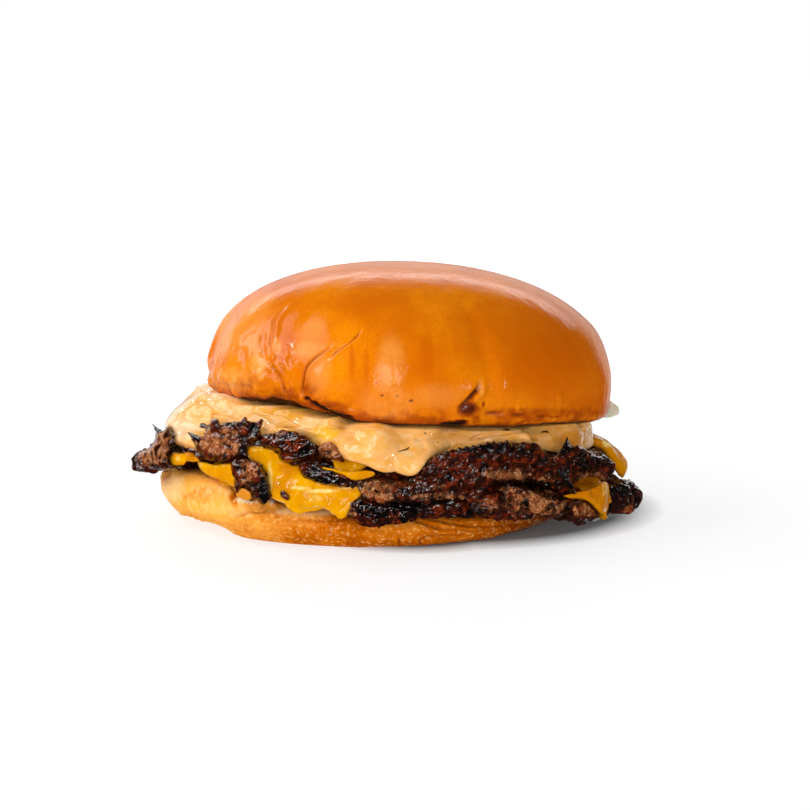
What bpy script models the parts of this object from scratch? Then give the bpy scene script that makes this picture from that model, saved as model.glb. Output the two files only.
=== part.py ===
"""A double smash burger at its real size, in metres, +Z up.

The origin is the middle of the burger's footprint, on the surface that it stands on. The front
is -Y and the right side is +X. Bearings are in degrees round the vertical axis, 0 at the front
and positive towards the right. Lengths below are in millimetres, and MM turns them to metres.

From the bottom up the burger is a heel, a lower patty, a slice of cheese, an upper patty, a second
slice of cheese, a thick layer of sauce, a sliver of onion and a domed top. The stack leans
towards the right, so each layer's flat middle is a plane that falls in that direction.
"""

import math
from typing import NamedTuple

import bmesh
import bpy
import numpy as np
from mathutils import Vector, noise

MM = 0.001

# Clear space between neighbouring layers, and how much more of it there is out at their jagged edges
GAP = 0.32
EDGE_GAP = 0.85

# Driving sizes of the two bun halves
TOP_RADIUS = 52.4
TOP_CENTRE_X = 6.0
DOME_RISE = 28.3
DOME_POWER = 2.2
HEEL_RADIUS = 53.4
HEEL_CENTRE_X = -5.3
HEEL_BASE_RADIUS = 45.0

# Steps round the vertical axis
TOP_STEPS = 84
HEEL_STEPS = 84
LAYER_STEPS = 102

# Every layer is flat inside this radius. Its relief starts at the second one and its crest at the
# third, and both take their full depth over the width.
FLAT_RADIUS = 38.0
RELIEF_RADIUS = 44.0
CREST_RADIUS = 47.5
RIM_WIDTH = 9.0

# Radii of the rings between the flat and the edge, and how far the edge is rounded off
INNER_RADIUS = 45.0
MIDDLE_RADIUS = 50.3
PATTY_ROUNDING = 1.5
SHEET_ROUNDING = 0.6

# The relief's usual peak, which the upper faces keep below their planes
ROUGH_PEAK = 0.8

# The share of its thickness that a layer keeps where what lies under it pushes up
SQUEEZE = 0.72

# A layer with a lip thicker than this is a patty, whose wall has crags
THIN_LIP = 2.5

# How steeply a surface counts as falling past its own edge, how much of the height at the next
# bearing counts, and the rounds of lifting onto it
PAST_EDGE_FALL = 2.6
BESIDE_SHARE = 0.75
LIFT_ROUNDS = 3

# The heel's side: how far each ring stands out from the base, its share of the rim's height and
# how much of the swell it takes. Then its shoulder, where the last value blends into the flat top.
HEEL_SIDE = ((3.7, 0.10, 0.4), (6.6, 0.33, 0.8), (8.3, 0.60, 1.0))
HEEL_SHOULDER = ((7.8, 0.82, 0.0), (6.1, 0.96, 0.0), (3.4, 1.0, 0.35), (-1.1, 1.0, 0.85), (-6.0, 1.0, 1.0))
HEEL_WIDEST = len(HEEL_SIDE)

# The rim of the bun's top: how far each ring is from the widest radius, its height over the cut
# face and how much of the lift and swell it takes. Then the angles of the dome's rings.
TOP_RIM = ((-12.4, 0.0, 0.0), (-6.6, 0.1, 0.6), (-3.0, 0.7, 1.0), (-1.2, 1.9, 0.9), (-0.5, 3.7, 0.6))
DOME_ANGLES = (0, 11, 22, 33, 44, 55, 65, 74, 82)


class Plane(NamedTuple):
    """A plane given by its height on the vertical axis and its fall for each mm to the right."""

    height: float
    fall: float

    def at(self, x):
        """Height of the plane at x."""
        return self.height - self.fall * x


class Lobe(NamedTuple):
    """A smooth swell of a value about one bearing."""

    bearing: float
    spread: float
    amount: float


class Round(NamedTuple):
    """A value that changes with the bearing: a base and the lobes that add to it."""

    base: float
    lobes: tuple = ()

    def at(self, bearing):
        """The value at each bearing."""
        total = np.full_like(bearing, self.base)
        for lobe in self.lobes:
            away = (bearing - lobe.bearing + 180.0) % 360.0 - 180.0
            total = total + lobe.amount * np.exp(-((away / lobe.spread) ** 2))
        return total


class Layer(NamedTuple):
    """One layer of the filling, flat in the middle and shaped at its rim.

    low and high are the planes of its two faces. reach is the radius of its edge, sag_low and
    sag_high are how far each face has dropped at the edge, and crest lifts the upper face near
    the rim. bend is the radius where the sag begins and power is how late it comes. lip is the
    least thickness at the edge, and grain and jag are the depths of the relief on its upper face
    and along its edge.
    """

    name: str
    low: Plane
    high: Plane
    reach: Round
    sag_low: Round
    sag_high: Round
    crest: Round
    bend: float
    power: float
    lip: float
    grain: float
    jag: float
    seed: float


HEEL_TOP = Plane(10.8, 0.065)
HEEL_RIM_DROP = Round(1.6, (Lobe(-62, 20, -1.5), Lobe(-30, 9, 0.9), Lobe(150, 30, -0.6)))
HEEL_SWELL = Round(
    0.0,
    (Lobe(-48, 20, 0.5), Lobe(12, 16, -0.6), Lobe(160, 25, 0.8), Lobe(95, 18, -0.6), Lobe(-150, 20, 0.5)),
)

# The cut face of the bun's top falls to the right more than its dome does
CUT_FACE = Plane(29.8, 0.078)
DOME_EQUATOR = Plane(37.0, 0.032)
TOP_RIM_LIFT = Round(
    0.4,
    (
        Lobe(-88, 26, -0.8),
        Lobe(-38, 17, 2.5),
        Lobe(6, 14, 1.0),
        Lobe(40, 20, 1.5),
        Lobe(108, 9, 1.5),
        Lobe(150, 30, 1.2),
        Lobe(-135, 20, 0.8),
    ),
)
TOP_SWELL = Round(
    0.0,
    (
        Lobe(-34, 5, -1.1),
        Lobe(-58, 12, 0.5),
        Lobe(-5, 14, 0.5),
        Lobe(21, 3.5, -0.9),
        Lobe(60, 20, 0.4),
        Lobe(118, 16, -0.8),
        Lobe(170, 22, 0.7),
        Lobe(-125, 9, -1.0),
    ),
)

LOWER_PATTY = Layer(
    name="patty_lower",
    low=Plane(11.3, 0.065),
    high=Plane(16.55, 0.067),
    reach=Round(
        56.0,
        (
            Lobe(-91, 8, 10.9),
            Lobe(-49, 7, -2.2),
            Lobe(-34, 6, 3.6),
            Lobe(-19, 8, -3.4),
            Lobe(-3, 7, 2.2),
            Lobe(28, 12, 1.6),
            Lobe(55, 6, 2.6),
            Lobe(83, 8, 11.2),
            Lobe(112, 8, -2.0),
            Lobe(138, 9, 3.8),
            Lobe(176, 10, 1.8),
            Lobe(-140, 9, 3.2),
            Lobe(-118, 7, -1.5),
        ),
    ),
    sag_low=Round(
        1.6,
        (
            Lobe(-91, 12, 3.6),
            Lobe(-34, 6, 2.8),
            Lobe(-4, 8, 2.6),
            Lobe(38, 12, 0.7),
            Lobe(64, 14, 4.8),
            Lobe(84, 11, 2.6),
            Lobe(140, 10, 1.5),
        ),
    ),
    sag_high=Round(2.2, (Lobe(-91, 10, 2.8), Lobe(-4, 8, 1.6), Lobe(80, 14, 1.8), Lobe(160, 14, 1.2))),
    crest=Round(0.0, (Lobe(-88, 7, 2.4), Lobe(-34, 5, 1.8))),
    bend=45.0,
    power=1.7,
    lip=2.6,
    grain=1.0,
    jag=1.4,
    seed=3.0,
)

LOWER_CHEESE = Layer(
    name="cheese_lower",
    low=Plane(17.0, 0.068),
    high=Plane(18.45, 0.069),
    reach=Round(
        50.5,
        (
            Lobe(-46, 6, 9.2),
            Lobe(-22, 7, 8.6),
            Lobe(-9, 6, 8.6),
            Lobe(66, 9, 12.4),
            Lobe(158, 9, 9.5),
            Lobe(-98, 8, 6.4),
            Lobe(-130, 9, 5.0),
            Lobe(112, 9, 3.0),
        ),
    ),
    sag_low=Round(
        2.0,
        (
            Lobe(-45, 7, 6.4),
            Lobe(-22, 8, 6.2),
            Lobe(-9, 7, 7.4),
            Lobe(66, 8, 8.0),
            Lobe(158, 10, 5.5),
            Lobe(-112, 14, 4.4),
        ),
    ),
    sag_high=Round(
        1.6,
        (
            Lobe(-45, 7, 5.2),
            Lobe(-22, 8, 4.6),
            Lobe(-9, 7, 5.8),
            Lobe(66, 8, 6.6),
            Lobe(158, 10, 4.6),
            Lobe(-112, 14, 3.8),
        ),
    ),
    crest=Round(0.0, (Lobe(-31, 4, 2.2),)),
    bend=44.0,
    power=1.9,
    lip=1.9,
    grain=0.12,
    jag=0.25,
    seed=11.0,
)

UPPER_PATTY = Layer(
    name="patty_upper",
    low=Plane(18.95, 0.071),
    high=Plane(24.65, 0.073),
    reach=Round(
        57.0,
        (
            Lobe(-58, 7, 2.2),
            Lobe(-46, 6, 1.6),
            Lobe(-35, 3.5, -3.4),
            Lobe(-25, 6, 2.0),
            Lobe(-14, 3.5, -1.6),
            Lobe(8, 14, 2.6),
            Lobe(36, 4, -1.2),
            Lobe(52, 5, 2.6),
            Lobe(70, 8, 3.6),
            Lobe(92, 9, -3.0),
            Lobe(140, 10, 2.0),
            Lobe(165, 6, -2.4),
            Lobe(-165, 9, 2.6),
            Lobe(-125, 8, 1.6),
            Lobe(-92, 15, -7.4),
        ),
    ),
    sag_low=Round(
        2.0,
        (
            Lobe(-35, 4, -3.6),
            Lobe(-25, 7, -1.4),
            Lobe(2, 14, 4.4),
            Lobe(22, 9, 2.2),
            Lobe(36, 5, -2.2),
            Lobe(52, 5, 2.4),
            Lobe(138, 10, 2.6),
            Lobe(-160, 10, 2.2),
        ),
    ),
    sag_high=Round(
        3.2,
        (
            Lobe(-92, 16, 3.0),
            Lobe(-46, 12, -2.0),
            Lobe(-25, 7, -1.4),
            Lobe(0, 13, 5.0),
            Lobe(30, 15, -2.6),
            Lobe(60, 10, 0.6),
            Lobe(138, 12, 2.4),
            Lobe(-160, 12, 1.8),
        ),
    ),
    crest=Round(
        0.3,
        (Lobe(-48, 11, 1.8), Lobe(-26, 6, 4.2), Lobe(33, 15, 4.0), Lobe(140, 14, 1.0), Lobe(-150, 12, 1.0)),
    ),
    bend=45.0,
    power=1.7,
    lip=3.0,
    grain=1.1,
    jag=1.4,
    seed=23.0,
)

UPPER_CHEESE = Layer(
    name="cheese_upper",
    low=Plane(25.15, 0.074),
    high=Plane(26.4, 0.075),
    reach=Round(
        48.5,
        (
            Lobe(-78, 12, 2.5),
            Lobe(-10, 7, 10.2),
            Lobe(0, 6, 4.0),
            Lobe(88, 11, 14.6),
            Lobe(-172, 10, 10.0),
            Lobe(140, 8, 4.0),
        ),
    ),
    sag_low=Round(
        2.4,
        (
            Lobe(-92, 16, 4.0),
            Lobe(-9, 9, 5.2),
            Lobe(88, 13, 8.6),
            Lobe(-172, 11, 5.2),
        ),
    ),
    sag_high=Round(
        2.2,
        (
            Lobe(-92, 16, 4.2),
            Lobe(-9, 9, 4.4),
            Lobe(88, 13, 7.4),
            Lobe(-172, 11, 4.6),
        ),
    ),
    crest=Round(0.0, (Lobe(88, 12, 1.2),)),
    bend=44.0,
    power=2.2,
    lip=1.7,
    grain=0.1,
    jag=0.2,
    seed=31.0,
)

SAUCE = Layer(
    name="sauce",
    low=Plane(26.9, 0.076),
    high=Plane(29.1, 0.078),
    reach=Round(
        51.6,
        (
            Lobe(-95, 26, 5.4),
            Lobe(-60, 12, 1.6),
            Lobe(-13, 6, 4.0),
            Lobe(-2, 9, 6.4),
            Lobe(28, 7, 1.4),
            Lobe(38.5, 3.5, 4.4),
            Lobe(57, 9, 4.6),
            Lobe(72, 8, 3.2),
            Lobe(106, 11, 4.2),
            Lobe(130, 10, 2.2),
            Lobe(163, 10, 4.8),
            Lobe(-150, 13, 4.2),
        ),
    ),
    sag_low=Round(
        3.2,
        (
            Lobe(-97, 24, 11.0),
            Lobe(-11, 8, 2.2),
            Lobe(-1, 9, 4.0),
            Lobe(28, 10, -1.6),
            Lobe(38.5, 3.5, 2.0),
            Lobe(106, 12, 3.6),
            Lobe(163, 12, 3.4),
            Lobe(-150, 12, 2.0),
        ),
    ),
    sag_high=Round(
        3.2,
        (
            Lobe(-97, 24, 9.0),
            Lobe(-11, 8, 2.0),
            Lobe(-1, 9, 3.6),
            Lobe(28, 10, -1.2),
            Lobe(38.5, 3.5, 2.0),
            Lobe(106, 12, 3.8),
            Lobe(163, 12, 3.2),
            Lobe(-150, 12, 2.0),
        ),
    ),
    crest=Round(0.0),
    bend=43.5,
    power=1.9,
    lip=2.3,
    grain=0.15,
    jag=0.35,
    seed=43.0,
)

# The sliver of onion that peeps out from under the bun's top at the right
ONION_BEARING = 107.0
ONION_ROOT = 52.5
ONION_TIP = 65.4
ONION_WIDTH = 5.6
ONION_THICKNESS = 1.0
ONION_LIFT = -0.4
ONION_TWIST = 58.0
ONION_STEPS = 7


def bearings(steps):
    """Evenly spaced bearings round the axis."""
    return np.arange(steps) * 360.0 / steps


def on_circle(radius, bearing, centre_x=0.0):
    """The x and y of points at a radius and bearing from a vertical axis."""
    angle = np.radians(bearing)
    return centre_x + radius * np.sin(angle), -radius * np.cos(angle)


def relief(x, y, seed, size):
    """Smooth noise from about -1 to 1 at each point, with lumps of the given size."""
    points = zip(np.ravel(x) / size, np.ravel(y) / size)
    values = [noise.noise(Vector((u, v, seed))) for u, v in points]
    return np.reshape(values, np.shape(x))


class Surface(NamedTuple):
    """Upward heights over the layer bearings: one row of radii and heights for each ring, outwards."""

    radii: np.ndarray
    heights: np.ndarray

    def over(self, wanted, turn=0):
        """Height at one wanted radius for each bearing, falling away past the outermost ring.

        turn is how many bearings further round the surface is read.
        """
        radii = np.roll(self.radii, -turn, axis=1)
        heights = np.roll(self.heights, -turn, axis=1)
        inside = np.array([np.interp(*column) for column in zip(wanted, radii.T, heights.T)])
        return inside - PAST_EDGE_FALL * np.clip(wanted - radii[-1], 0.0, None)

    def over_points(self, x, y):
        """Height over points anywhere, as the higher of the two bearings beside each."""
        radius = np.hypot(x, y)
        place = np.degrees(np.arctan2(x, -y)) % 360.0 * self.radii.shape[1] / 360.0
        heights = []
        for wanted, step in zip(radius, place.astype(int)):
            beside = [step % self.radii.shape[1], (step + 1) % self.radii.shape[1]]
            found = [np.interp(wanted, self.radii[:, side], self.heights[:, side]) for side in beside]
            past = wanted - np.max(self.radii[-1, beside])
            heights.append(max(found) - PAST_EDGE_FALL * max(past, 0.0))
        return np.array(heights)


def top_of(stack, wanted):
    """Height of the highest surface in the stack at one wanted radius for each bearing.

    The heights most of the way to the next bearing on either side count as well.
    """
    highest = np.full_like(wanted, -np.inf)
    for surface in stack:
        here = surface.over(wanted)
        beside = np.maximum(surface.over(wanted, 1), surface.over(wanted, -1))
        highest = np.maximum(highest, np.maximum(here, here + BESIDE_SHARE * (beside - here)))
    return highest


def floor_at(stack, radius):
    """The lowest that a layer may lie over the stack at one radius for each bearing."""
    return top_of(stack, radius) + GAP + EDGE_GAP * rim_share(radius, CREST_RADIUS)


def rest_on(stack, radii, heights):
    """Lifts a layer's lower rings until it clears the stack everywhere between them as well."""
    heights = np.maximum(heights, [floor_at(stack, radius) for radius in radii])
    for _ in range(LIFT_ROUNDS):
        for ring in range(len(radii) - 1):
            for share in (0.2, 0.4, 0.6, 0.8):
                between = radii[ring] * (1.0 - share) + radii[ring + 1] * share
                height = heights[ring] * (1.0 - share) + heights[ring + 1] * share
                short = np.clip(floor_at(stack, between) - height, 0.0, None)
                heights[ring] += short * (1.0 - share) * float(ring > 0)
                heights[ring + 1] += short * share
    return heights


def edge_radius(layer, bearing):
    """Radius of a layer's edge, with its jags."""
    x, y = on_circle(1.0, bearing)
    coarse = relief(x, y, layer.seed, 0.13)
    fine = relief(x, y, layer.seed + 5.0, 0.045)
    return layer.reach.at(bearing) + layer.jag * (1.2 * coarse + fine)


def shape_at(layer, radius, bearing, edge):
    """Heights that a layer's two faces would have at each point if nothing lay below it."""
    x, y = on_circle(radius, bearing)
    share = np.clip((radius - layer.bend) / (edge - layer.bend), 0.0, 1.0) ** layer.power
    rim = rim_share(radius, RELIEF_RADIUS)
    rough = relief(x, y, layer.seed, 5.5) + 0.6 * relief(x, y, layer.seed + 9.0, 2.6)
    low = layer.low.at(x) - layer.sag_low.at(bearing) * share + 0.5 * layer.grain * rim * rough
    high = layer.high.at(x) - layer.sag_high.at(bearing) * share
    high = high + rim_share(radius, CREST_RADIUS) * layer.crest.at(bearing)
    return low, high + layer.grain * rim * (rough - ROUGH_PEAK)


def rim_share(radius, start):
    """How far a point is into the shaped rim that begins at the start, from 0 to 1."""
    share = np.clip((radius - start) / RIM_WIDTH, 0.0, 1.0)
    return share * share * (3.0 - 2.0 * share)


def lay(layer, stack):
    """The rings of a layer laid on the stack, from its lower flat to its upper one, and its top.

    Both faces are flat inside FLAT_RADIUS. The wall between them is as tall as the layer is thick
    there, and each of its rings wanders in and out by its own jags.
    """
    bearing = bearings(LAYER_STEPS)
    edge = edge_radius(layer, bearing)
    flat = np.full_like(edge, FLAT_RADIUS)
    inner = np.minimum(INNER_RADIUS, 0.86 * edge)
    middle = np.minimum(MIDDLE_RADIUS, 0.93 * edge)
    is_patty = layer.lip > THIN_LIP
    inset = np.minimum(0.34 * (edge - middle), PATTY_ROUNDING if is_patty else SHEET_ROUNDING)
    under = np.array([flat, inner, middle + 0.35 * (edge - middle), edge - 0.6 * inset])
    over = [flat, inner, middle + 0.3 * (edge - middle), edge - inset]
    if is_patty:
        over[2:3] = [middle, middle + 0.5 * (edge - middle)]
    shapes = [shape_at(layer, radius, bearing, edge) for radius in under]
    low = rest_on(stack, under, np.array([shape[0] for shape in shapes]))
    low[0] = layer.low.at(on_circle(flat, bearing)[0])
    bottom = Surface(under, low)
    thin = layer.high.height - layer.low.height
    tops = []
    for radius in over:
        _, high = shape_at(layer, radius, bearing, edge)
        squeezed = SQUEEZE * thin
        least = squeezed + (layer.lip - squeezed) * rim_share(radius, CREST_RADIUS)
        least = least + bottom.over(np.minimum(radius, under[-1]))
        tops.append(np.maximum(high, least))
    tops[0] = layer.high.at(on_circle(flat, bearing)[0])
    thick = tops[-1] - low[-1]
    walls = ((edge, 0.5),)
    if is_patty:
        x, y = on_circle(1.0, bearing)
        waver = 0.5 * layer.jag * relief(x, y, layer.seed + 2.0, 0.07)
        walls = ((edge - np.abs(waver), 0.33), (edge + np.minimum(waver, 0.0), 0.67))
    wall = [(radius, low[-1] + share * thick) for radius, share in walls]
    rings = list(zip(under, low)) + wall + list(zip(over[::-1], tops[::-1]))
    points = [np.stack([*on_circle(radius, bearing), height], axis=1) for radius, height in rings]
    outline = list(zip(over, tops)) + [(edge, low[-1] + 0.67 * thick)]
    return points, Surface(np.array([ring[0] for ring in outline]), np.array([ring[1] for ring in outline]))


def top_rings(stack):
    """The rings of the bun's top, from the rim of its cut face up to the last one below its apex.

    The soft underside gives way where the filling pushes it up.
    """
    bearing = bearings(TOP_STEPS)
    lift = TOP_RIM_LIFT.at(bearing)
    swell = TOP_SWELL.at(bearing)
    made = []
    for inset, height, share in TOP_RIM:
        x, y = on_circle(TOP_RADIUS + inset + share * swell, bearing, TOP_CENTRE_X)
        underside = CUT_FACE.at(x) + height + share * lift
        if share > 0.0:
            underside = np.maximum(underside, stack[-1].over_points(x, y) + GAP)
        made.append(np.stack([x, y, underside], axis=1))
    for degrees in DOME_ANGLES:
        angle = math.radians(degrees)
        out = math.cos(angle) ** (2.0 / DOME_POWER)
        up = math.sin(angle) ** (2.0 / DOME_POWER)
        x, y = on_circle(TOP_RADIUS * out + swell * out**2, bearing, TOP_CENTRE_X)
        made.append(np.stack([x, y, DOME_EQUATOR.at(x) + DOME_RISE * up + 0.2 * lift * out**6], axis=1))
    return made


def heel_profile(bearing):
    """Radii and heights of the heel's rings about its own axis, from its base to its flat top."""
    drop = HEEL_RIM_DROP.at(bearing)
    swell = HEEL_SWELL.at(bearing)
    rim_x, _ = on_circle(HEEL_RADIUS, bearing, HEEL_CENTRE_X)
    rim_height = HEEL_TOP.at(rim_x) - drop
    radii = [np.full_like(bearing, HEEL_BASE_RADIUS)]
    heights = [np.zeros_like(bearing)]
    for out, share, swelling in HEEL_SIDE:
        radii.append(HEEL_BASE_RADIUS + out + swelling * swell)
        heights.append(share * rim_height)
    for out, share, blend in HEEL_SHOULDER:
        radii.append(HEEL_BASE_RADIUS + out + (1.0 - blend) * swell)
        top_x, _ = on_circle(radii[-1], bearing, HEEL_CENTRE_X)
        heights.append(share * rim_height * (1.0 - blend) + blend * HEEL_TOP.at(top_x))
    return np.array(radii), np.array(heights)


def heel_rings():
    """The rings of the heel, from the rim of its flat base to the rim of its flat top."""
    bearing = bearings(HEEL_STEPS)
    radii, heights = heel_profile(bearing)
    return [
        np.stack([*on_circle(radius, bearing, HEEL_CENTRE_X), height], axis=1)
        for radius, height in zip(radii, heights)
    ]


def heel_surface():
    """The heel's upper side as seen from the burger's own axis."""
    bearing = bearings(LAYER_STEPS)
    steps = np.linspace(0.5 * FLAT_RADIUS, HEEL_RADIUS + 6.0, 40)
    heights = []
    for step in steps:
        x, y = on_circle(step, bearing)
        own_bearing = np.degrees(np.arctan2(x - HEEL_CENTRE_X, -y)) % 360.0
        radii, rows = heel_profile(own_bearing)
        upper = Surface(radii[HEEL_WIDEST:][::-1], rows[HEEL_WIDEST:][::-1])
        heights.append(upper.over(np.hypot(x - HEEL_CENTRE_X, y)))
    return Surface(np.repeat(steps[:, None], LAYER_STEPS, axis=1), np.array(heights))


def solid_from_rings(name, rings, material, apex=None):
    """A closed solid from rings of points in mm, capped flat at both ends or with an apex on top."""
    mesh = bmesh.new()
    loops = [[mesh.verts.new(Vector(point) * MM) for point in ring] for ring in rings]
    steps = len(loops[0])
    mesh.faces.new(list(reversed(loops[0])))
    for lower, upper in zip(loops, loops[1:]):
        for step in range(steps):
            after = (step + 1) % steps
            mesh.faces.new((lower[step], lower[after], upper[after], upper[step]))
    if apex is None:
        mesh.faces.new(loops[-1])
    else:
        top = mesh.verts.new(Vector(apex) * MM)
        for step in range(steps):
            mesh.faces.new((loops[-1][step], loops[-1][(step + 1) % steps], top))
    return object_from(mesh, name, material)


def object_from(mesh, name, material):
    """Puts a bmesh in the scene as one named, smoothly shaded object."""
    data = bpy.data.meshes.new(name)
    mesh.to_mesh(data)
    mesh.free()
    data.shade_smooth()
    data.set_sharp_from_angle(angle=math.radians(50))
    data.materials.append(material)
    made = bpy.data.objects.new(name, data)
    bpy.context.scene.collection.objects.link(made)
    return made


def finish(name, colour, roughness):
    """A plain Principled material with a colour and a roughness."""
    material = bpy.data.materials.new(name)
    material.use_nodes = True
    shader = material.node_tree.nodes["Principled BSDF"]
    shader.inputs["Base Color"].default_value = (*colour, 1.0)
    shader.inputs["Roughness"].default_value = roughness
    shader.inputs["Metallic"].default_value = 0.0
    return material


def make_onion(stack):
    """The tapered, twisted sliver of onion that lies on the sauce and reaches out past the bun."""
    share = np.linspace(0.0, 1.0, ONION_STEPS)
    along = ONION_ROOT + share * (ONION_TIP - ONION_ROOT)
    nearby = np.abs(bearings(LAYER_STEPS) - ONION_BEARING) < 0.5 * math.degrees(ONION_WIDTH / ONION_ROOT)
    resting = np.max(top_of(stack, np.full(LAYER_STEPS, ONION_ROOT))[nearby])
    middle = resting + GAP + 0.5 * ONION_THICKNESS + ONION_LIFT * share**2
    angle = math.radians(ONION_BEARING)
    outwards = Vector((math.sin(angle), -math.cos(angle), 0.0))
    across = Vector((math.cos(angle), math.sin(angle), 0.0))
    upwards = Vector((0.0, 0.0, 1.0))
    outline = ((-1.0, 0.0), (-0.5, -0.5), (0.5, -0.5), (1.0, 0.0), (0.5, 0.5), (-0.5, 0.5))
    mesh = bmesh.new()
    frames = []
    for radius, height, part in zip(along, middle, share):
        twist = math.radians(ONION_TWIST) * part
        wide = across * math.cos(twist) + upwards * math.sin(twist)
        tall = upwards * math.cos(twist) - across * math.sin(twist)
        half_width = 0.5 * ONION_WIDTH * (0.6 + 0.8 * part - 1.15 * part**3)
        thickness = ONION_THICKNESS * (1.0 - 0.4 * part)
        centre = outwards * radius + upwards * height
        corners = [centre + wide * (half_width * u) + tall * (thickness * v) for u, v in outline]
        frames.append([mesh.verts.new(corner * MM) for corner in corners])
    for near, far in zip(frames, frames[1:]):
        for index in range(len(near)):
            after = (index + 1) % len(near)
            mesh.faces.new((near[index], near[after], far[after], far[index]))
    mesh.faces.new(frames[0])
    mesh.faces.new(list(reversed(frames[-1])))
    bmesh.ops.recalc_face_normals(mesh, faces=mesh.faces)
    return object_from(mesh, "onion_sliver", finish("raw_onion", (0.80, 0.76, 0.58), 0.3))


def main():
    """Builds the burger from the heel up."""
    for old in list(bpy.data.objects):
        bpy.data.objects.remove(old)
    crust = finish("bun_crust", (0.62, 0.27, 0.05), 0.3)
    beef = finish("seared_beef", (0.10, 0.035, 0.018), 0.4)
    cheese = finish("melted_cheese", (0.85, 0.47, 0.05), 0.3)
    dressing = finish("burger_sauce", (0.83, 0.46, 0.20), 0.3)
    solid_from_rings("bun_heel", heel_rings(), crust)
    stack = [heel_surface()]
    layers = (
        (LOWER_PATTY, beef),
        (LOWER_CHEESE, cheese),
        (UPPER_PATTY, beef),
        (UPPER_CHEESE, cheese),
        (SAUCE, dressing),
    )
    for layer, material in layers:
        rings, surface = lay(layer, stack)
        solid_from_rings(layer.name, rings, material)
        stack.append(surface)
    make_onion(stack)
    apex = (TOP_CENTRE_X, 0.0, DOME_EQUATOR.at(TOP_CENTRE_X) + DOME_RISE)
    solid_from_rings("bun_top", top_rings(stack), crust, apex)


main()
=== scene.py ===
"""Looks of a double smash burger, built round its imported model.

Each layer of the frame is read back as rings of points and made into a much finer skin, which gets its
crags, creases, folds and drips in its own mesh. Torn flakes and runs of cheese lie on the skins where
the photograph shows them, and grains, flecks and blisters are strewn over them.
Sizes are in millimetres unless they say otherwise. A bearing is in degrees from the front towards the
right. A place is a point of the 810 by 810 picture.
"""

import logging
import math
from dataclasses import dataclass, field, replace
from enum import Enum
from typing import Callable, NamedTuple

import bmesh
import bpy
import numpy as np
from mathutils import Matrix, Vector
from mathutils.bvhtree import BVHTree
from mathutils.geometry import delaunay_2d_cdt


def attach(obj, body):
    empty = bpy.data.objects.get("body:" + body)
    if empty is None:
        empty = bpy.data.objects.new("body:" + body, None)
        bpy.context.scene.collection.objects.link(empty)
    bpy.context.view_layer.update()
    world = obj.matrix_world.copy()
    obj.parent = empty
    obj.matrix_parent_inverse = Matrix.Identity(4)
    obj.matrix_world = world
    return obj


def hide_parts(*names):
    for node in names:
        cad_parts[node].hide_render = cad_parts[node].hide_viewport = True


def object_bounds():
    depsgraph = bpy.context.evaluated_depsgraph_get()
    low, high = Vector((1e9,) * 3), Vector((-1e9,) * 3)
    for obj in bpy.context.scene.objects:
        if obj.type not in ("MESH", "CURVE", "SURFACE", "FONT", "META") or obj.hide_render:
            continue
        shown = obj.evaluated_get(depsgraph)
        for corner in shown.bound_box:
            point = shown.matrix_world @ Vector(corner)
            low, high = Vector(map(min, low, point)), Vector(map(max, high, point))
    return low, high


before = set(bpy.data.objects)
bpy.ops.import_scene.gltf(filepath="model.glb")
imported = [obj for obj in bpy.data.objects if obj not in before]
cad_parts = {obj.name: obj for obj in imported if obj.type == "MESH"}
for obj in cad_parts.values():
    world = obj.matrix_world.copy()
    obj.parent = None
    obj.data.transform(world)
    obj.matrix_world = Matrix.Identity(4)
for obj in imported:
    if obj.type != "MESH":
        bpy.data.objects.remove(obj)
CAD_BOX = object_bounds()

log = logging.getLogger("burger")

MM = 0.001
# A pixel of the picture at the burger's front, in mm.
MM_PER_PIXEL = 0.26
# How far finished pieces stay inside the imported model's box, in mm.
BOX_MARGIN = 0.02
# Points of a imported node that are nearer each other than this, in metres, are one.
WELD = 1e-6
# Where shapes drawn in the picture fade out towards the back, as distances in front of the axis in mm.
FRONT_FADE = (-5.0, 10.0)
LIFT_FADE = (-6.0, 2.0)
# Where the coarse back of a skin begins, as bearings.
BACK_FADE = (88.0, 120.0)
# How far the last ring of a skin goes towards its tip.
TIP_SHARE = 0.94
# The height of a row of even triangles, over their width.
ROW_HEIGHT = 0.87
# The usual span of cloudy noise.
USUAL = (0.3, 0.7)
# A base without a shine of its own, which the coat gives instead.
MATT = {"Specular IOR Level": 0.0}
# The turns of strewn lumps, in radians, and the seeds of their turns and tones.
WHOLE_TURN = 6.28
SPIN_SEED = 7
TONE_SEED = 3
Array = np.ndarray
Place = tuple[float, float]
Spot = tuple[float, float, float]
Colour = tuple[float, float, float]


def placed(name: str, data: bpy.types.ID) -> bpy.types.Object:
    """Puts an object with its data in the scene."""
    made = bpy.data.objects.new(name, data)
    bpy.context.scene.collection.objects.link(made)
    return made


class Slot(Enum):
    """The record's material slots."""

    HEEL = "bun_heel"
    CRUST = "bun_crust"
    BEEF = "seared_beef"
    CHEESE = "melted_cheese"
    SAUCE = "burger_sauce"
    ONION = "raw_onion"


class Finish(NamedTuple):
    """A material, and the slot of the record that it stands in."""

    material: bpy.types.Material
    slot: Slot


def unit(vectors: Array) -> Array:
    """The vectors at length one."""
    return vectors / np.maximum(np.linalg.norm(vectors, axis=-1, keepdims=True), 1e-9)


def radius_of(points: Array, axis: float = 0.0) -> Array:
    """How far each point is from an upright axis that stands on x."""
    return np.hypot(points[..., 0] - axis, points[..., 1])


def turn_of(points: Array, axis: float = 0.0) -> Array:
    """The bearing of each point about an upright axis, in radians from the front towards the right."""
    return np.arctan2(points[..., 0] - axis, -points[..., 1])


def smooth_step(values: Array, low: float, high: float) -> Array:
    """A soft step from 0 at the low value to 1 at the high one."""
    share = np.clip((values - low) / (high - low), 0.0, 1.0)
    return share * share * (3.0 - 2.0 * share)


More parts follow.
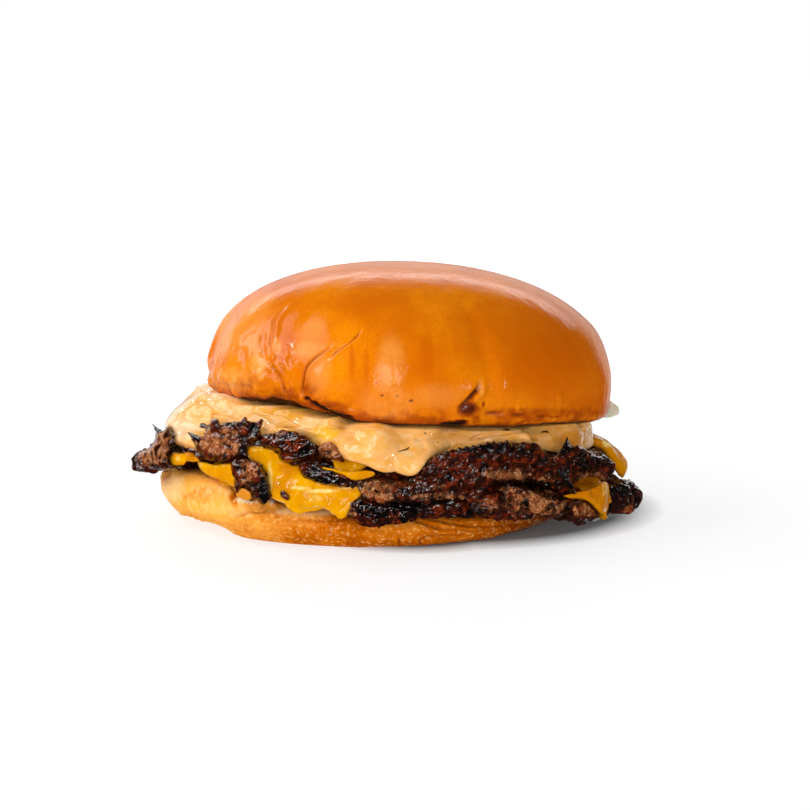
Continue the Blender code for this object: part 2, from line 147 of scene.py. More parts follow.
def scatter_value(cells: Array, seed: int) -> Array:
    """An even random value from 0 to 1 for each whole-numbered cell.

    Args:
        cells: whole numbers, three in each last row.
        seed: picks one pattern.

    Returns:
        One value for each cell.
    """
    mixed = cells[..., 0] * 374761393 + cells[..., 1] * 668265263 + cells[..., 2] * 1440662683 + seed * 97531
    mixed &= 0xFFFFFFFF
    mixed = ((mixed ^ (mixed >> 13)) * 1274126177) & 0xFFFFFFFF
    mixed = ((mixed ^ (mixed >> 15)) * 2246822519) & 0xFFFFFFFF
    mixed ^= mixed >> 16
    return (mixed & 0xFFFFFF) / float(0xFFFFFF)


def swell(points: Array, size: float, seed: int, octaves: int = 3) -> Array:
    """Soft noise from about -1 to 1 at each point.

    Args:
        points: where to read it.
        size: the width of its largest lumps.
        seed: picks one pattern.
        octaves: how many finer layers there are, each half as wide and half as strong.

    Returns:
        One value for each point.
    """
    total = np.zeros(points.shape[:-1])
    weight = 0.0
    for octave in range(octaves):
        strength = 0.5**octave
        spots = points * (2.0**octave / size) + 17.3 * octave
        base = np.floor(spots)
        part = spots - base
        part = part * part * part * (part * (part * 6.0 - 15.0) + 10.0)
        cells = base.astype(np.int64)
        for corner in np.ndindex(2, 2, 2):
            pick = np.array(corner)
            share = np.prod(np.where(pick == 1, part, 1.0 - part), axis=-1)
            total += strength * share * (2.0 * scatter_value(cells + pick, seed + octave) - 1.0)
        weight += strength
    return total * 1.6 / weight


def bent_by(points: Array, amount: float, size: float, seed: int) -> Array:
    """The points moved about by soft noise of a size."""
    return points + amount * np.stack([swell(points, size, seed + axis, 2) for axis in range(3)], axis=-1)


def pebbles(points: Array, size: float, seed: int, wide: float) -> Array:
    """Scattered domes, each 1 at its centre and falling to 0 at a share of the pebbles' size."""
    spots = points / size
    cells = np.floor(spots).astype(np.int64)
    nearest = np.full(points.shape[:-1], 9.0)
    for step in np.ndindex(3, 3, 3):
        near = cells + (np.array(step) - 1)
        centre = near + np.stack([scatter_value(near, seed + axis) for axis in range(3)], axis=-1)
        nearest = np.minimum(nearest, np.sum((spots - centre) ** 2, axis=-1))
    return 1.0 - np.clip(np.sqrt(nearest) / wide, 0.0, 1.0) ** 2


def front_of(points: Array) -> Array:
    """1 on the front half of the burger, falling softly to 0 behind its middle."""
    return smooth_step(-points[..., 1], *FRONT_FADE)


def between(corners: tuple[Array, ...], part: object) -> Array:
    """The point that is a share of the way from the second to the third of four, on a smooth curve."""
    p0, p1, p2, p3 = corners
    return 0.5 * (
        2 * p1 + (p2 - p0) * part + (2 * p0 - 5 * p1 + 4 * p2 - p3) * part**2 + (3 * p1 - p0 - 3 * p2 + p3) * part**3
    )


@dataclass(frozen=True)
class Viewpoint:
    """The eye that the photograph was taken from: a long lens a little above the table."""

    lens: float = 102.4
    sensor: float = 36.0
    picture: float = 810.0
    distance: float = 600.0
    elevation: float = 8.5
    target: tuple[float, float, float] = (4.95, 0.0, 28.1)

    @property
    def back(self) -> Array:
        """The direction from the target to the eye."""
        tilt = math.radians(self.elevation)
        return np.array([0.0, -math.cos(tilt), math.sin(tilt)])

    @property
    def upward(self) -> Array:
        """The direction that is up in the picture."""
        tilt = math.radians(self.elevation)
        return np.array([0.0, math.sin(tilt), math.cos(tilt)])

    @property
    def eye(self) -> Array:
        """Where the lens is."""
        return np.array(self.target) + self.back * self.distance

    @property
    def focal(self) -> float:
        """The lens's length in pixels of the picture."""
        return self.lens / self.sensor * self.picture

    def places(self, points: Array) -> Array:
        """The place of each point in the picture."""
        away = points - self.eye
        depth = -away @ self.back
        half = self.picture / 2
        across = half + self.focal * away[..., 0] / depth
        return np.stack([across, half - self.focal * (away @ self.upward) / depth], axis=-1)

    def on_round(self, places: Array, radius: Array) -> Array:
        """The points where lines of sight meet upright rounds about the burger's axis.

        Args:
            places: the places in the picture.
            radius: the radius of the round for each place.

        Returns:
            The nearer meeting point of each line.
        """
        half = self.picture / 2
        across = (places[..., 0] - half) / self.focal
        up = (half - places[..., 1]) / self.focal
        ways = -self.back + across[..., None] * np.array([1.0, 0.0, 0.0]) + up[..., None] * self.upward
        eye = self.eye
        a = np.sum(ways[..., :2] ** 2, axis=-1)
        b = ways[..., :2] @ eye[:2]
        c = eye[:2] @ eye[:2] - radius**2
        reach = (-b - np.sqrt(np.maximum(b * b - a * c, 0.0))) / a
        return eye + ways * reach[..., None]

    def laid(self, path: tuple, trees: list[BVHTree], lift: float) -> tuple:
        """Lays a path of the picture on the first surface that is seen there.

        Args:
            path: places with a radius, which is kept where no surface is seen.
            trees: the surfaces, in metres.
            lift: how far the path stays in front of them.

        Returns:
            The places with their radii from the surfaces.
        """
        made = []
        for u, v, radius in path:
            way = Vector(self.on_round(np.array([[u, v]]), np.array([20.0]))[0] - self.eye).normalized()
            hits = [tree.ray_cast(Vector(self.eye) * MM, way) for tree in trees]
            spots = sorted((hit[3], math.hypot(hit[0].x, hit[0].y) / MM) for hit in hits if hit[0] is not None)
            made.append((u, v, spots[0][1] + lift if spots else radius))
        return tuple(made)

    def camera(self) -> None:
        """Makes the scene's camera."""
        data = bpy.data.cameras.new("camera")
        data.lens = self.lens
        data.sensor_width = self.sensor
        data.clip_end = 10.0
        camera = placed("camera", data)
        camera.location = Vector(self.eye) * MM
        camera.rotation_euler = Vector(self.back).to_track_quat("Z", "Y").to_euler()
        bpy.context.scene.camera = camera


VIEW = Viewpoint()


class Blot(NamedTuple):
    """A soft oval in the picture: its middle, its half width and height, and how strong it is."""

    u: float
    v: float
    wide: float
    tall: float
    amount: float


    def at(self, places: Array) -> Array:
        """Its strength at each place."""
        away = ((places[..., 0] - self.u) / self.wide) ** 2 + ((places[..., 1] - self.v) / self.tall) ** 2
        return self.amount * np.exp(-(away**2))


def blots(*rows: tuple[float, ...]) -> tuple[Blot, ...]:
    """Blots from rows of their numbers."""
    return tuple(Blot(*row) for row in rows)


def blotted(places: Array, rows: tuple[Blot, ...]) -> Array:
    """The strongest blot's strength at each place."""
    found = np.zeros(places.shape[:-1])
    for blot in rows:
        found = np.maximum(found, blot.at(places))
    return found


def along_line(places: Array, line: Array) -> tuple[Array, Array, Array]:
    """Where each place is beside a line drawn in the picture.

    Args:
        places: the places to measure, as rows.
        line: the line's corners.

    Returns:
        The distance to the line in pixels, how far along the line the nearest point is, from 0 to 1,
        and which side the place is on: 1 to the right of the line's way, -1 to the left.
    """
    steps = np.diff(line, axis=0)
    lengths = np.linalg.norm(steps, axis=1)
    total = lengths.sum()
    best = np.full(len(places), 1e9)
    share = np.zeros(len(places))
    side = np.ones(len(places))
    done = 0.0
    for start, step, length in zip(line[:-1], steps, lengths):
        away = places - start
        part = np.clip(away @ step / length**2, 0.0, 1.0)
        gap = np.linalg.norm(away - part[:, None] * step, axis=1)
        nearer = gap < best
        best = np.where(nearer, gap, best)
        share = np.where(nearer, (done + part * length) / total, share)
        turned = np.sign(step[0] * away[:, 1] - step[1] * away[:, 0])
        side = np.where(nearer, turned, side)
        done += length
    return best, share, side


def softened(line: tuple[Place, ...], step: float = 2.0) -> Array:
    """A line's corners joined by a smooth curve with a point every few pixels."""
    corners = np.array(line, float)
    padded = np.vstack([2 * corners[0] - corners[1], corners, 2 * corners[-1] - corners[-2]])
    made = []
    for index in range(len(corners) - 1):
        four = padded[index : index + 4]
        count = max(2, int(np.linalg.norm(four[2, :2] - four[1, :2]) / step))
        made += [between(tuple(four), part) for part in np.arange(count) / count]
    made.append(corners[-1])
    return np.array(made)


def boxed(points: Array) -> Array:
    """Points in metres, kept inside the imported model's box and on or over the table."""
    low, high = (np.array(corner) for corner in CAD_BOX)
    low, high = low + BOX_MARGIN * MM, high - BOX_MARGIN * MM
    low[2] = 0.0
    return np.clip(points, low, high).astype(np.float32)


def raw_mesh(name: str, spots: Array, corners: Array, masks: dict[str, Array]) -> bpy.types.Mesh:
    """Makes a mesh of triangles.

    Args:
        name: its name.
        spots: its points in metres, one number after another.
        corners: the point numbers of its faces, one after another.
        masks: values at its points, by name.

    Returns:
        The mesh.
    """
    mesh = bpy.data.meshes.new(name)
    mesh.vertices.add(len(spots) // 3)
    mesh.vertices.foreach_set("co", spots)
    mesh.loops.add(len(corners))
    mesh.loops.foreach_set("vertex_index", corners.astype(np.int32))
    mesh.polygons.add(len(corners) // 3)
    mesh.polygons.foreach_set("loop_start", np.arange(0, len(corners), 3, dtype=np.int32))
    mesh.update(calc_edges=True)
    for mask, values in masks.items():
        layer = mesh.attributes.new(mask, "FLOAT", "POINT")
        layer.data.foreach_set("value", values.astype(np.float32).ravel())
    return mesh


def mesh_piece(
    name: str,
    points: Array,
    faces: Array,
    finish: Finish,
    masks: dict[str, Array],
    node: str = "",
) -> bpy.types.Object:
    """Puts a closed mesh of triangles in the scene as one finished piece.

    Args:
        name: the piece's name.
        points: its points in mm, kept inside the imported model's box.
        faces: three point numbers for each face.
        finish: its finish.
        masks: values at the points that the finish reads, by name.
        node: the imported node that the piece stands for, if any.

    Returns:
        The new object.
    """
    mesh = raw_mesh(name, boxed(points * MM).ravel(), faces.ravel(), masks)
    mesh.validate()
    mesh.shade_smooth()
    mesh.materials.append(finish.material)
    return settled(placed(name, mesh), node)


def settled(piece: bpy.types.Object, node: str = "") -> bpy.types.Object:
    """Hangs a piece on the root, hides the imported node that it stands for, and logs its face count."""
    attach(piece, "root")
    if node:
        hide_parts(node)
    log.info("%s: %d faces", piece.name, len(piece.data.polygons))
    return piece


def welded(node: str) -> bmesh.types.BMesh:
    """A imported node's mesh with its doubled points joined."""
    mesh = bmesh.new()
    mesh.from_mesh(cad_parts[node].data)
    bmesh.ops.remove_doubles(mesh, verts=mesh.verts, dist=WELD)
    return mesh


def read_rings(node: str, axis: float, steps: int, least: float) -> Array:
    """Reads a packed layer back as rings of points.

    Args:
        node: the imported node's name.
        axis: where on x the axis of its rings stands.
        steps: how many bearings its rings have.
        least: points nearer the axis than this are left out.

    Returns:
        Points in mm by bearing and ring, from the lower middle out and over to the upper middle.
    """
    mesh = welded(node)
    points = np.array([vert.co for vert in mesh.verts]) / MM
    turn = np.degrees(turn_of(points, axis)) % 360.0
    row = np.round(turn * steps / 360.0).astype(int) % steps
    row[radius_of(points, axis) <= least] = -1
    mesh.verts.ensure_lookup_table()
    chains = []
    for bearing in range(steps):
        members = [int(index) for index in np.flatnonzero(row == bearing)]
        beside = {}
        for index in members:
            others = [edge.other_vert(mesh.verts[index]).index for edge in mesh.verts[index].link_edges]
            beside[index] = [other for other in others if row[other] == bearing]
        ends = [index for index in members if len(beside[index]) == 1]
        chain = [min(ends, key=lambda index: points[index, 2])]
        while len(chain) < len(members):
            chain.append(next(other for other in beside[chain[-1]] if other not in chain))
        chains.append(points[chain])
    mesh.free()
    return np.array(chains)


def curve_through(rings: Array, knots: Array, spots: list[tuple[int, float]]) -> Array:
    """Smooth curves through the second axis of an array, read at chosen spots.

    Args:
        rings: points by bearing and ring.
        knots: how far along its profile each point is.
        spots: the ring that each wanted spot follows, and its share of the way to the next.

    Returns:
        Points by bearing and spot.
    """
    gaps = np.maximum(np.diff(knots, axis=1), 1e-6)[..., None]
    slopes = np.diff(rings, axis=1) / gaps
    inner = (slopes[:, :-1] * gaps[:, 1:] + slopes[:, 1:] * gaps[:, :-1]) / (gaps[:, 1:] + gaps[:, :-1])
    tangents = np.concatenate([slopes[:, :1], inner, slopes[:, -1:]], axis=1)
    made = []
    for ring, share in spots:
        h = gaps[:, ring]
        a, b = rings[:, ring], rings[:, ring + 1]
        s, s2, s3 = share, share**2, share**3
        made.append(
            (2 * s3 - 3 * s2 + 1) * a
            + (s3 - 2 * s2 + s) * h * tangents[:, ring]
            + (3 * s2 - 2 * s3) * b
            + (s3 - s2) * h * tangents[:, ring + 1]
        )
    return np.stack(made, axis=1)


class Crease(NamedTuple):
    """A crease along a line of the picture, with a rounded lip on its right.

    Attributes:
        line: its corners in the picture.
        width: its half width.
        depth: how deep it is.
        lip: how far its lip stands out.
        tint: how far it raises a mask in its groove: painted shade in the crease, and toasting in the burnt creases.
        reach: how far round its line points are looked at, in pixels.
    """

    line: tuple[Place, ...]
    width: float
    depth: float
    lip: float
    tint: float
    reach: float = 30.0


class Grain(NamedTuple):
    """How fine a skin is: its steps at the front and at the back, across its profile and on its flats."""

    front: float
    back: float
    across: float
    flat: float


@dataclass
class Skin:
    """A closed grid of points: rows go round, columns go from the lower middle out and over."""

    points: Array
    masks: dict[str, Array] = field(default_factory=dict)
    tip: Array | None = None

    @classmethod
    def of(cls, rings: Array, axis: float, grain: Grain, visible: float, tip: Array | None = None) -> "Skin":
        """Refines rings of points into a skin.

        Args:
            rings: points by bearing and ring.
            axis: where on x the rings' axis stands.
            grain: the sizes of the skin's steps.
            visible: segments of the profile that lie nearer the axis than this are coarse.
            tip: the point that closes the skin on top, if it isn't flat there.

        Returns:
            The skin.
        """
        if tip is not None:
            rings = np.concatenate([rings, np.broadcast_to(tip, (len(rings), 1, 3))], axis=1)
        gaps = np.linalg.norm(np.diff(rings, axis=1), axis=2)
        knots = np.concatenate([np.zeros((len(rings), 1)), np.cumsum(gaps, axis=1)], axis=1)
        radius = radius_of(rings, axis).mean(axis=0)
        spots: list[tuple[int, float]] = []
        for ring in range(rings.shape[1] - 1):
            middle = 0.5 * (radius[ring] + radius[ring + 1])
            step = grain.across if middle > visible else grain.flat
            count = max(1, math.ceil(gaps[:, ring].mean() / step))
            spots += [(ring, part / count) for part in range(count)]
        last = rings.shape[1] - 2
        spots.append((last, 1.0 if tip is None else TIP_SHARE))
        fine = curve_through(rings, knots, spots)
        turns = cls.bearings(grain, float(radius.max()))
        wrapped = np.concatenate([fine[-1:], fine, fine[:2]], axis=0)
        spot = turns / 360.0 * len(fine)
        base = np.floor(spot).astype(int)
        part = (spot - base)[:, None, None]
        return cls(between(tuple(wrapped[base + step] for step in range(4)), part), {}, tip)

    @staticmethod
    def bearings(grain: Grain, radius: float) -> Array:
        """Bearings round a circle, closer together at the front than at the back."""
        even = np.linspace(0.0, 360.0, 3601)
        behind = smooth_step(np.abs((even + 180.0) % 360.0 - 180.0), *BACK_FADE)
        step = grain.front + (grain.back - grain.front) * behind
        dense = math.radians(0.1) * radius / step
        count = np.concatenate([[0.0], np.cumsum(dense[:-1])])
        rows = int(count[-1])
        return np.interp(np.arange(rows) * count[-1] / rows, count, even)

    @property
    def flat(self) -> Array:
        """The points as one list."""
        return self.points.reshape(-1, 3)

    def normals(self) -> Array:
        """Outward directions at the points."""
        round_way = np.roll(self.points, -1, axis=0) - np.roll(self.points, 1, axis=0)
        over_way = np.gradient(self.points, axis=1)
        return unit(np.cross(round_way, over_way))

    def push(self, amount: Array) -> None:
        """Moves each point outwards by its own amount."""
        self.points = self.points + self.normals() * amount[..., None]

    def paint(self, name: str, values: Array) -> None:
        """Raises a mask to the given values."""
        old = self.masks.get(name)
        self.masks[name] = values if old is None else np.maximum(old, values)

    def ahead(self) -> Array:
        """1 where a point faces the camera, falling to 0 at the sides."""
        return smooth_step(-self.normals()[..., 1], -0.05, 0.25) * (self.points[..., 1] < 10.0)

    def crease(self, crease: Crease, mask: str) -> None:
        """Presses a crease along its line of the picture.

        Args:
            crease: its line and its sizes.
            mask: a mask that is raised in the groove: painted shade, and toasting in a burnt crease.
        """
        places = VIEW.places(self.points)
        curve = softened(crease.line)
        low, high = curve.min(axis=0) - crease.reach, curve.max(axis=0) + crease.reach
        near = np.all((places > low) & (places < high), axis=-1) & (self.ahead() > 0.0)
        gap, share, side = along_line(places[near], curve)
        gap = gap * MM_PER_PIXEL
        fade = np.clip(6.0 * share, 0.0, 1.0) * np.clip(4.0 * (1.0 - share), 0.0, 1.0)
        groove = np.exp(-((gap / crease.width) ** 2)) * fade
        rise = np.exp(-(((gap - 2.4 * crease.width) / (1.6 * crease.width)) ** 2)) * fade * (side > 0)
        amount = np.zeros(places.shape[:-1])
        amount[near] = crease.lip * rise - crease.depth * groove
        self.push(amount * self.ahead())
        # Darkens the groove in the mask: painted shade in the crease.
        values = np.zeros(places.shape[:-1])
        values[near] = crease.tint * groove
        self.paint(mask, values)

    def piece(self, node: str, finish: Finish) -> bpy.types.Object:
        """Closes the skin and puts it in the scene in a node's place, under the node's name."""
        rows, columns = self.points.shape[:2]
        count = rows * columns
        index = np.arange(count).reshape(rows, columns)
        after = np.roll(index, -1, axis=0)
        a, b, c, d = index[:, :-1], after[:, :-1], after[:, 1:], index[:, 1:]
        around = np.concatenate([np.stack([a, b, c], -1).reshape(-1, 3), np.stack([a, c, d], -1).reshape(-1, 3)])
        under = np.stack([np.full(rows, count), after[:, 0], index[:, 0]], -1)
        over = np.stack([np.full(rows, count + 1), index[:, -1], after[:, -1]], -1)
        top = self.points[:, -1].mean(axis=0) if self.tip is None else self.tip
        points = np.vstack([self.flat, self.points[:, 0].mean(axis=0), top])
        masks = {}
        for mask, values in self.masks.items():
            masks[mask] = np.concatenate([values.ravel(), [values[:, 0].mean(), values[:, -1].mean()]])
        return mesh_piece(node, points, np.vstack([around, under, over]), finish, masks, node)


class Relief(NamedTuple):
    """What a surface's fine shape gives: how far each point stands out, and the finish's masks."""

    rise: Array
    masks: dict[str, Array]


@dataclass(frozen=True)
class Patch:
    """A torn or melted piece that shows as one outline in the picture.

    Its outline lies on a round about the burger's axis, and its face stands out from there.

    Attributes:
        name: the piece's name.
        outline: its corners in the picture.
        reach: how far its face is from the axis, as places with a radius.
        thick: its thickness away from its edge.
        edge: how many pixels its rounded edge reaches in.
        ragged: how many pixels its edge wanders.
        seed: picks its noise.
        step: the width of its triangles in pixels.
        edge_highlight: a mask that is raised along its edge, as a painted highlight.
    """

    name: str
    outline: tuple[Place, ...]
    reach: tuple[tuple[float, float, float], ...]
    thick: float
    edge: float = 7.0
    ragged: float = 0.0
    seed: int = 1
    step: float = 1.15
    edge_highlight: str = ""

    def radius(self, places: Array) -> Array:
        """How far the face is from the axis at each place."""
        known = np.array(self.reach)
        away = np.sum((places[:, None, :] - known[None, :, :2]) ** 2, axis=-1)
        weight = 1.0 / (away + 30.0)
        return np.sum(weight * known[:, 2], axis=1) / np.sum(weight, axis=1)

    def border(self) -> Array:
        """The outline as a fine closed curve with its tears."""
        closed = softened((*self.outline, self.outline[0]), self.step)[:-1]
        spots = np.column_stack([closed, np.full(len(closed), 7.7 * self.seed)])
        ways = np.roll(closed, -1, axis=0) - np.roll(closed, 1, axis=0)
        outward = unit(np.column_stack([ways[:, 1], -ways[:, 0]]))
        wander = swell(spots, 5.5, self.seed, 3)
        return closed + outward * (self.ragged * wander)[:, None]

    def plane(self) -> tuple[Array, Array]:
        """Fills the outline with small triangles.

        Returns:
            The places of their corners, and three corner numbers for each.
        """
        border = self.border()
        low, high = border.min(axis=0), border.max(axis=0)
        across = np.arange(low[0], high[0], self.step)
        down = np.arange(low[1], high[1], ROW_HEIGHT * self.step)
        grid = np.array([(u + 0.5 * self.step * (row % 2), v) for row, v in enumerate(down) for u in across])
        nexts = np.roll(border, -1, axis=0)
        inside = np.zeros(len(grid), bool)
        for (u0, v0), (u1, v1) in zip(border, nexts):
            if v0 != v1:
                crossing = (grid[:, 1] < v0) != (grid[:, 1] < v1)
                inside ^= crossing & (grid[:, 0] < u0 + (u1 - u0) * (grid[:, 1] - v0) / (v1 - v0))
        gap, _, _ = along_line(grid, np.vstack([border, border[:1]]))
        inner = grid[inside & (gap > 0.55 * self.step)]
        corners = [Vector(place) for place in np.vstack([border, inner])]
        filled = delaunay_2d_cdt(corners, [], [list(range(len(border)))], 1, 1e-4)
        return np.array([tuple(corner) for corner in filled[0]]), np.array(filled[2])

    def piece(self, finish: Finish, relief: Callable[[Array, int], Relief]) -> bpy.types.Object:
        """Builds the patch as a closed, rounded piece.

        Args:
            finish: its finish.
            relief: gives the fine shape of its face.

        Returns:
            The new piece.
        """
        places, faces = self.plane()
        border = self.border()
        gap, _, _ = along_line(places, np.vstack([border, border[:1]]))
        rim = gap < 1e-2
        dome = np.sqrt(1.0 - (1.0 - np.clip(gap / self.edge, 0.0, 1.0)) ** 2)
        middle = self.radius(places) - 0.5 * self.thick
        smooth = VIEW.on_round(places, middle + 0.5 * self.thick * dome)
        found = relief(smooth, self.seed)
        # Paints a highlight along the edge.
        if self.edge_highlight:
            found.masks[self.edge_highlight] = np.maximum(found.masks[self.edge_highlight], 0.6 * np.exp(-((gap / 2.2) ** 2)))
        front = VIEW.on_round(places, middle + 0.5 * self.thick * dome + found.rise * np.minimum(1.0, 2.0 * dome))
        back = VIEW.on_round(places, middle - 0.5 * self.thick * dome)
        behind = np.where(rim, np.arange(len(places)), len(places) + np.arange(len(places)))
        first = faces[0]
        facing = np.cross(front[first[1]] - front[first[0]], front[first[2]] - front[first[0]]) @ VIEW.back
        faces = faces if facing > 0.0 else faces[:, ::-1]
        joined = np.vstack([faces, behind[faces][:, ::-1]])
        used, renumbered = np.unique(joined, return_inverse=True)
        masks = {name: np.concatenate([values, values])[used] for name, values in found.masks.items()}
        points = np.vstack([front, back])[used]
        return mesh_piece(self.name, points, renumbered.reshape(-1, 3), finish, masks)


class Ending(Enum):
    """How a strand ends."""

    SPIKE = "spike"
    STICK = "stick"


@dataclass(frozen=True)
class Strand:
    """A thin spike, stick or thread that follows a line of the picture.

    Attributes:
        path: places with a radius, from its root on.
        width: its width at the root.
        flat: its thickness as a share of its width.
        seed: picks its noise.
        ending: whether it ends in a point.
        sides: how many sides its tube has.
    """

    path: tuple[tuple[float, float, float], ...]
    width: float
    flat: float
    seed: int
    ending: Ending = Ending.STICK
    sides: int = 9

    def tube(self) -> tuple[Array, Array]:
        """Builds the strand's closed tube.

        Returns:
            Its points, and three point numbers for each face.
        """
        line = softened(self.path, 1.2)
        middle = VIEW.on_round(line[:, :2], line[:, 2])
        share = np.linspace(0.0, 1.0, len(line))
        if self.ending is Ending.SPIKE:
            half = 0.5 * self.width * (1.0 - share**1.5) + 0.04
        else:
            half = 0.5 * self.width * np.sqrt(np.clip(1.0 - (2.0 * share - 1.0) ** 4, 0.02, 1.0))
        ways = unit(np.gradient(middle, axis=0))
        across = unit(np.cross(ways, VIEW.back))
        towards = unit(np.cross(across, ways))
        sides = self.sides
        rings = []
        for turn in np.arange(sides) * 2.0 * math.pi / sides:
            out = across * math.cos(turn) + towards * (self.flat * math.sin(turn))
            rings.append(middle + out * half[:, None])
        points = np.stack(rings, axis=1)
        points = points + unit(points - middle[:, None]) * (
            0.35 * half[:, None, None] * swell(points, 1.3, self.seed, 2)[..., None]
        )
        count = len(line)
        index = np.arange(count * sides).reshape(count, sides)
        after = np.roll(index, -1, axis=1)
        faces = [
            np.stack([index[:-1], after[:-1], after[1:]], -1).reshape(-1, 3),
            np.stack([index[:-1], after[1:], index[1:]], -1).reshape(-1, 3),
            np.stack([after[0], index[0], np.full(sides, count * sides)], -1),
            np.stack([index[-1], after[-1], np.full(sides, count * sides + 1)], -1),
        ]
        flat = np.vstack([points.reshape(-1, 3), middle[0], middle[-1]])
        return flat, np.vstack(faces)


def strands_piece(
    name: str, strands: tuple[Strand, ...], finish: Finish, masks: dict[str, float]
) -> bpy.types.Object:
    """Puts several strands in the scene as one piece.

    Args:
        name: the piece's name.
        strands: what it is made of.
        finish: its finish.
        masks: one value for each mask of the finish.

    Returns:
        The new piece.
    """
    points, faces, count = [], [], 0
    for strand in strands:
        tube, sides = strand.tube()
        points.append(tube)
        faces.append(sides + count)
        count += len(tube)
    everywhere = {mask: np.full(count, value) for mask, value in masks.items()}
    piece = mesh_piece(name, np.vstack(points), np.vstack(faces), finish, everywhere)
    turned = bmesh.new()
    turned.from_mesh(piece.data)
    bmesh.ops.recalc_face_normals(turned, faces=turned.faces)
    turned.to_mesh(piece.data)
    turned.free()
    return piece


def feed(tree: bpy.types.NodeTree, socket: bpy.types.NodeSocket, value: object) -> None:
    """Links a socket to another one, or sets its value."""
    if isinstance(value, bpy.types.NodeSocket):
        tree.links.new(value, socket)
    elif isinstance(value, tuple) and len(value) == 3 and socket.type == "RGBA":
        socket.default_value = (*value, 1.0)
    else:
        socket.default_value = value


def add_node(tree: bpy.types.NodeTree, kind: str, inputs: dict, **settings: object) -> bpy.types.Node:
    """Adds a node to a tree, sets it, and feeds its inputs by their names or numbers."""
    node = tree.nodes.new(kind)
    for key, value in settings.items():
        setattr(node, key, value)
    for key, value in inputs.items():
        feed(tree, node.inputs[key], value)
    return node


class Recipe:
    """A finish's node tree and short ways to add to it."""

    def __init__(self, name: str) -> None:
        """Starts a finish with a plain shader and the object's own coordinates."""
        self.material = bpy.data.materials.new(name)
        self.material.use_nodes = True
        self.tree = self.material.node_tree
        self.shader = self.tree.nodes["Principled BSDF"]
        self.place = self.add("ShaderNodeTexCoord", {}).outputs["Object"]

    def add(self, kind: str, inputs: dict, **settings: object) -> bpy.types.Node:
        """Adds a node with its inputs and settings."""
        return add_node(self.tree, kind, inputs, **settings)

    def noise(self, size: float, detail: float = 3.0, stretch: tuple | None = None, warp: float = 0.0) -> object:
        """Cloudy noise from 0 to 1.

        Args:
            size: the width of its clouds in mm.
            detail: how many finer layers it has.
            stretch: scales along x, y and z, if it isn't even.
            warp: how much it is drawn out.

        Returns:
            The socket with its value.
        """
        place = self.place
        if stretch:
            place = self.add("ShaderNodeMapping", {"Vector": place, "Scale": stretch}).outputs["Vector"]
        inputs = {"Vector": place, "Scale": 1.0 / (size * MM), "Detail": detail, "Distortion": warp}
        return self.add("ShaderNodeTexNoise", inputs).outputs["Fac"]

    def cloud(
        self, size: float, detail: float, *span: float, stretch: tuple | None = None, warp: float = 0.0
    ) -> object:
        """Cloudy noise mapped from one range to another.

        Args:
            size: the width of its clouds in mm.
            detail: how many finer layers it has.
            span: the low and the high value of the noise, then what they become, if not 0 and 1.
            stretch: scales along x, y and z, if it isn't even.
            warp: how much it is drawn out.

        Returns:
            The socket with its value.
        """
        return self.level(self.noise(size, detail, stretch, warp), *span)

    def ragged(self, name: str, size: float, detail: float, less: float, more: float) -> object:
        """A mask of the mesh, broken up by noise that takes away or adds up to the given amounts."""
        return self.sum("ADD", self.mask(name), self.cloud(size, detail, *USUAL, less, more))

    def cells(self, size: float, kind: str = "F1") -> object:
        """Distance to the middles of scattered cells of a size in mm."""
        inputs = {"Vector": self.place, "Scale": 1.0 / (size * MM)}
        return self.add("ShaderNodeTexVoronoi", inputs, feature=kind).outputs["Distance"]

    def mask(self, name: str) -> object:
        """A mask that the mesh carries."""
        return self.add("ShaderNodeAttribute", {}, attribute_name=name).outputs["Fac"]

    def share(self, name: str, most: float, least: float = 0.0) -> object:
        """A mask of the mesh, times the most that it may be, once it is over its least."""
        return self.level(self.mask(name), least, 1.0, 0.0, most)

    def level(self, value: object, low: float, high: float, start: float = 0.0, end: float = 1.0) -> object:
        """Maps a value from one range to another, held at the ends."""
        inputs = {"Value": value, "From Min": low, "From Max": high, "To Min": start, "To Max": end}
        return self.add("ShaderNodeMapRange", inputs).outputs["Result"]

    def sum(self, kind: str, first: object, second: object) -> object:
        """One operation on two values."""
        return self.add("ShaderNodeMath", {0: first, 1: second}, operation=kind).outputs[0]

    def part(self, value: object, share: float) -> object:
        """A share of a value."""
        return self.sum("MULTIPLY", value, share)

    def mix(self, first: object, second: object, share: object) -> object:
        """Blends two colours by a share."""
        return self.add("ShaderNodeMix", {0: share, 6: first, 7: second}, data_type="RGBA").outputs[2]

    def tinted(self, colour: object, *tints: tuple[object, object]) -> object:
        """Lays tints over a colour in their order, each by its own share."""
        for tint, share in tints:
            colour = self.mix(colour, tint, share)
        return colour

    def bump(self, height: object, depth: float, below: object | None = None) -> object:
        """A bump of a height from 0 to 1 and a depth in mm, over another one if there is one."""
        under = {} if below is None else {"Normal": below}
        return self.add("ShaderNodeBump", {"Height": height, "Distance": depth * MM, **under}).outputs["Normal"]

    def done(self, colour: object, rough: object, bump: object, settings: dict[str, object]) -> bpy.types.Material:
        """Joins the colour, roughness and bump to the shader.

        Args:
            colour: the base colour.
            rough: the roughness.
            bump: the normal.
            settings: what the shader's other sockets get.

        Returns:
            The finished material.
        """
        inputs = {"Base Color": colour, "Roughness": rough, "Normal": bump, "Coat Normal": bump, **settings}
        for key, value in inputs.items():
            feed(self.tree, self.shader.inputs[key], value)
        return self.material


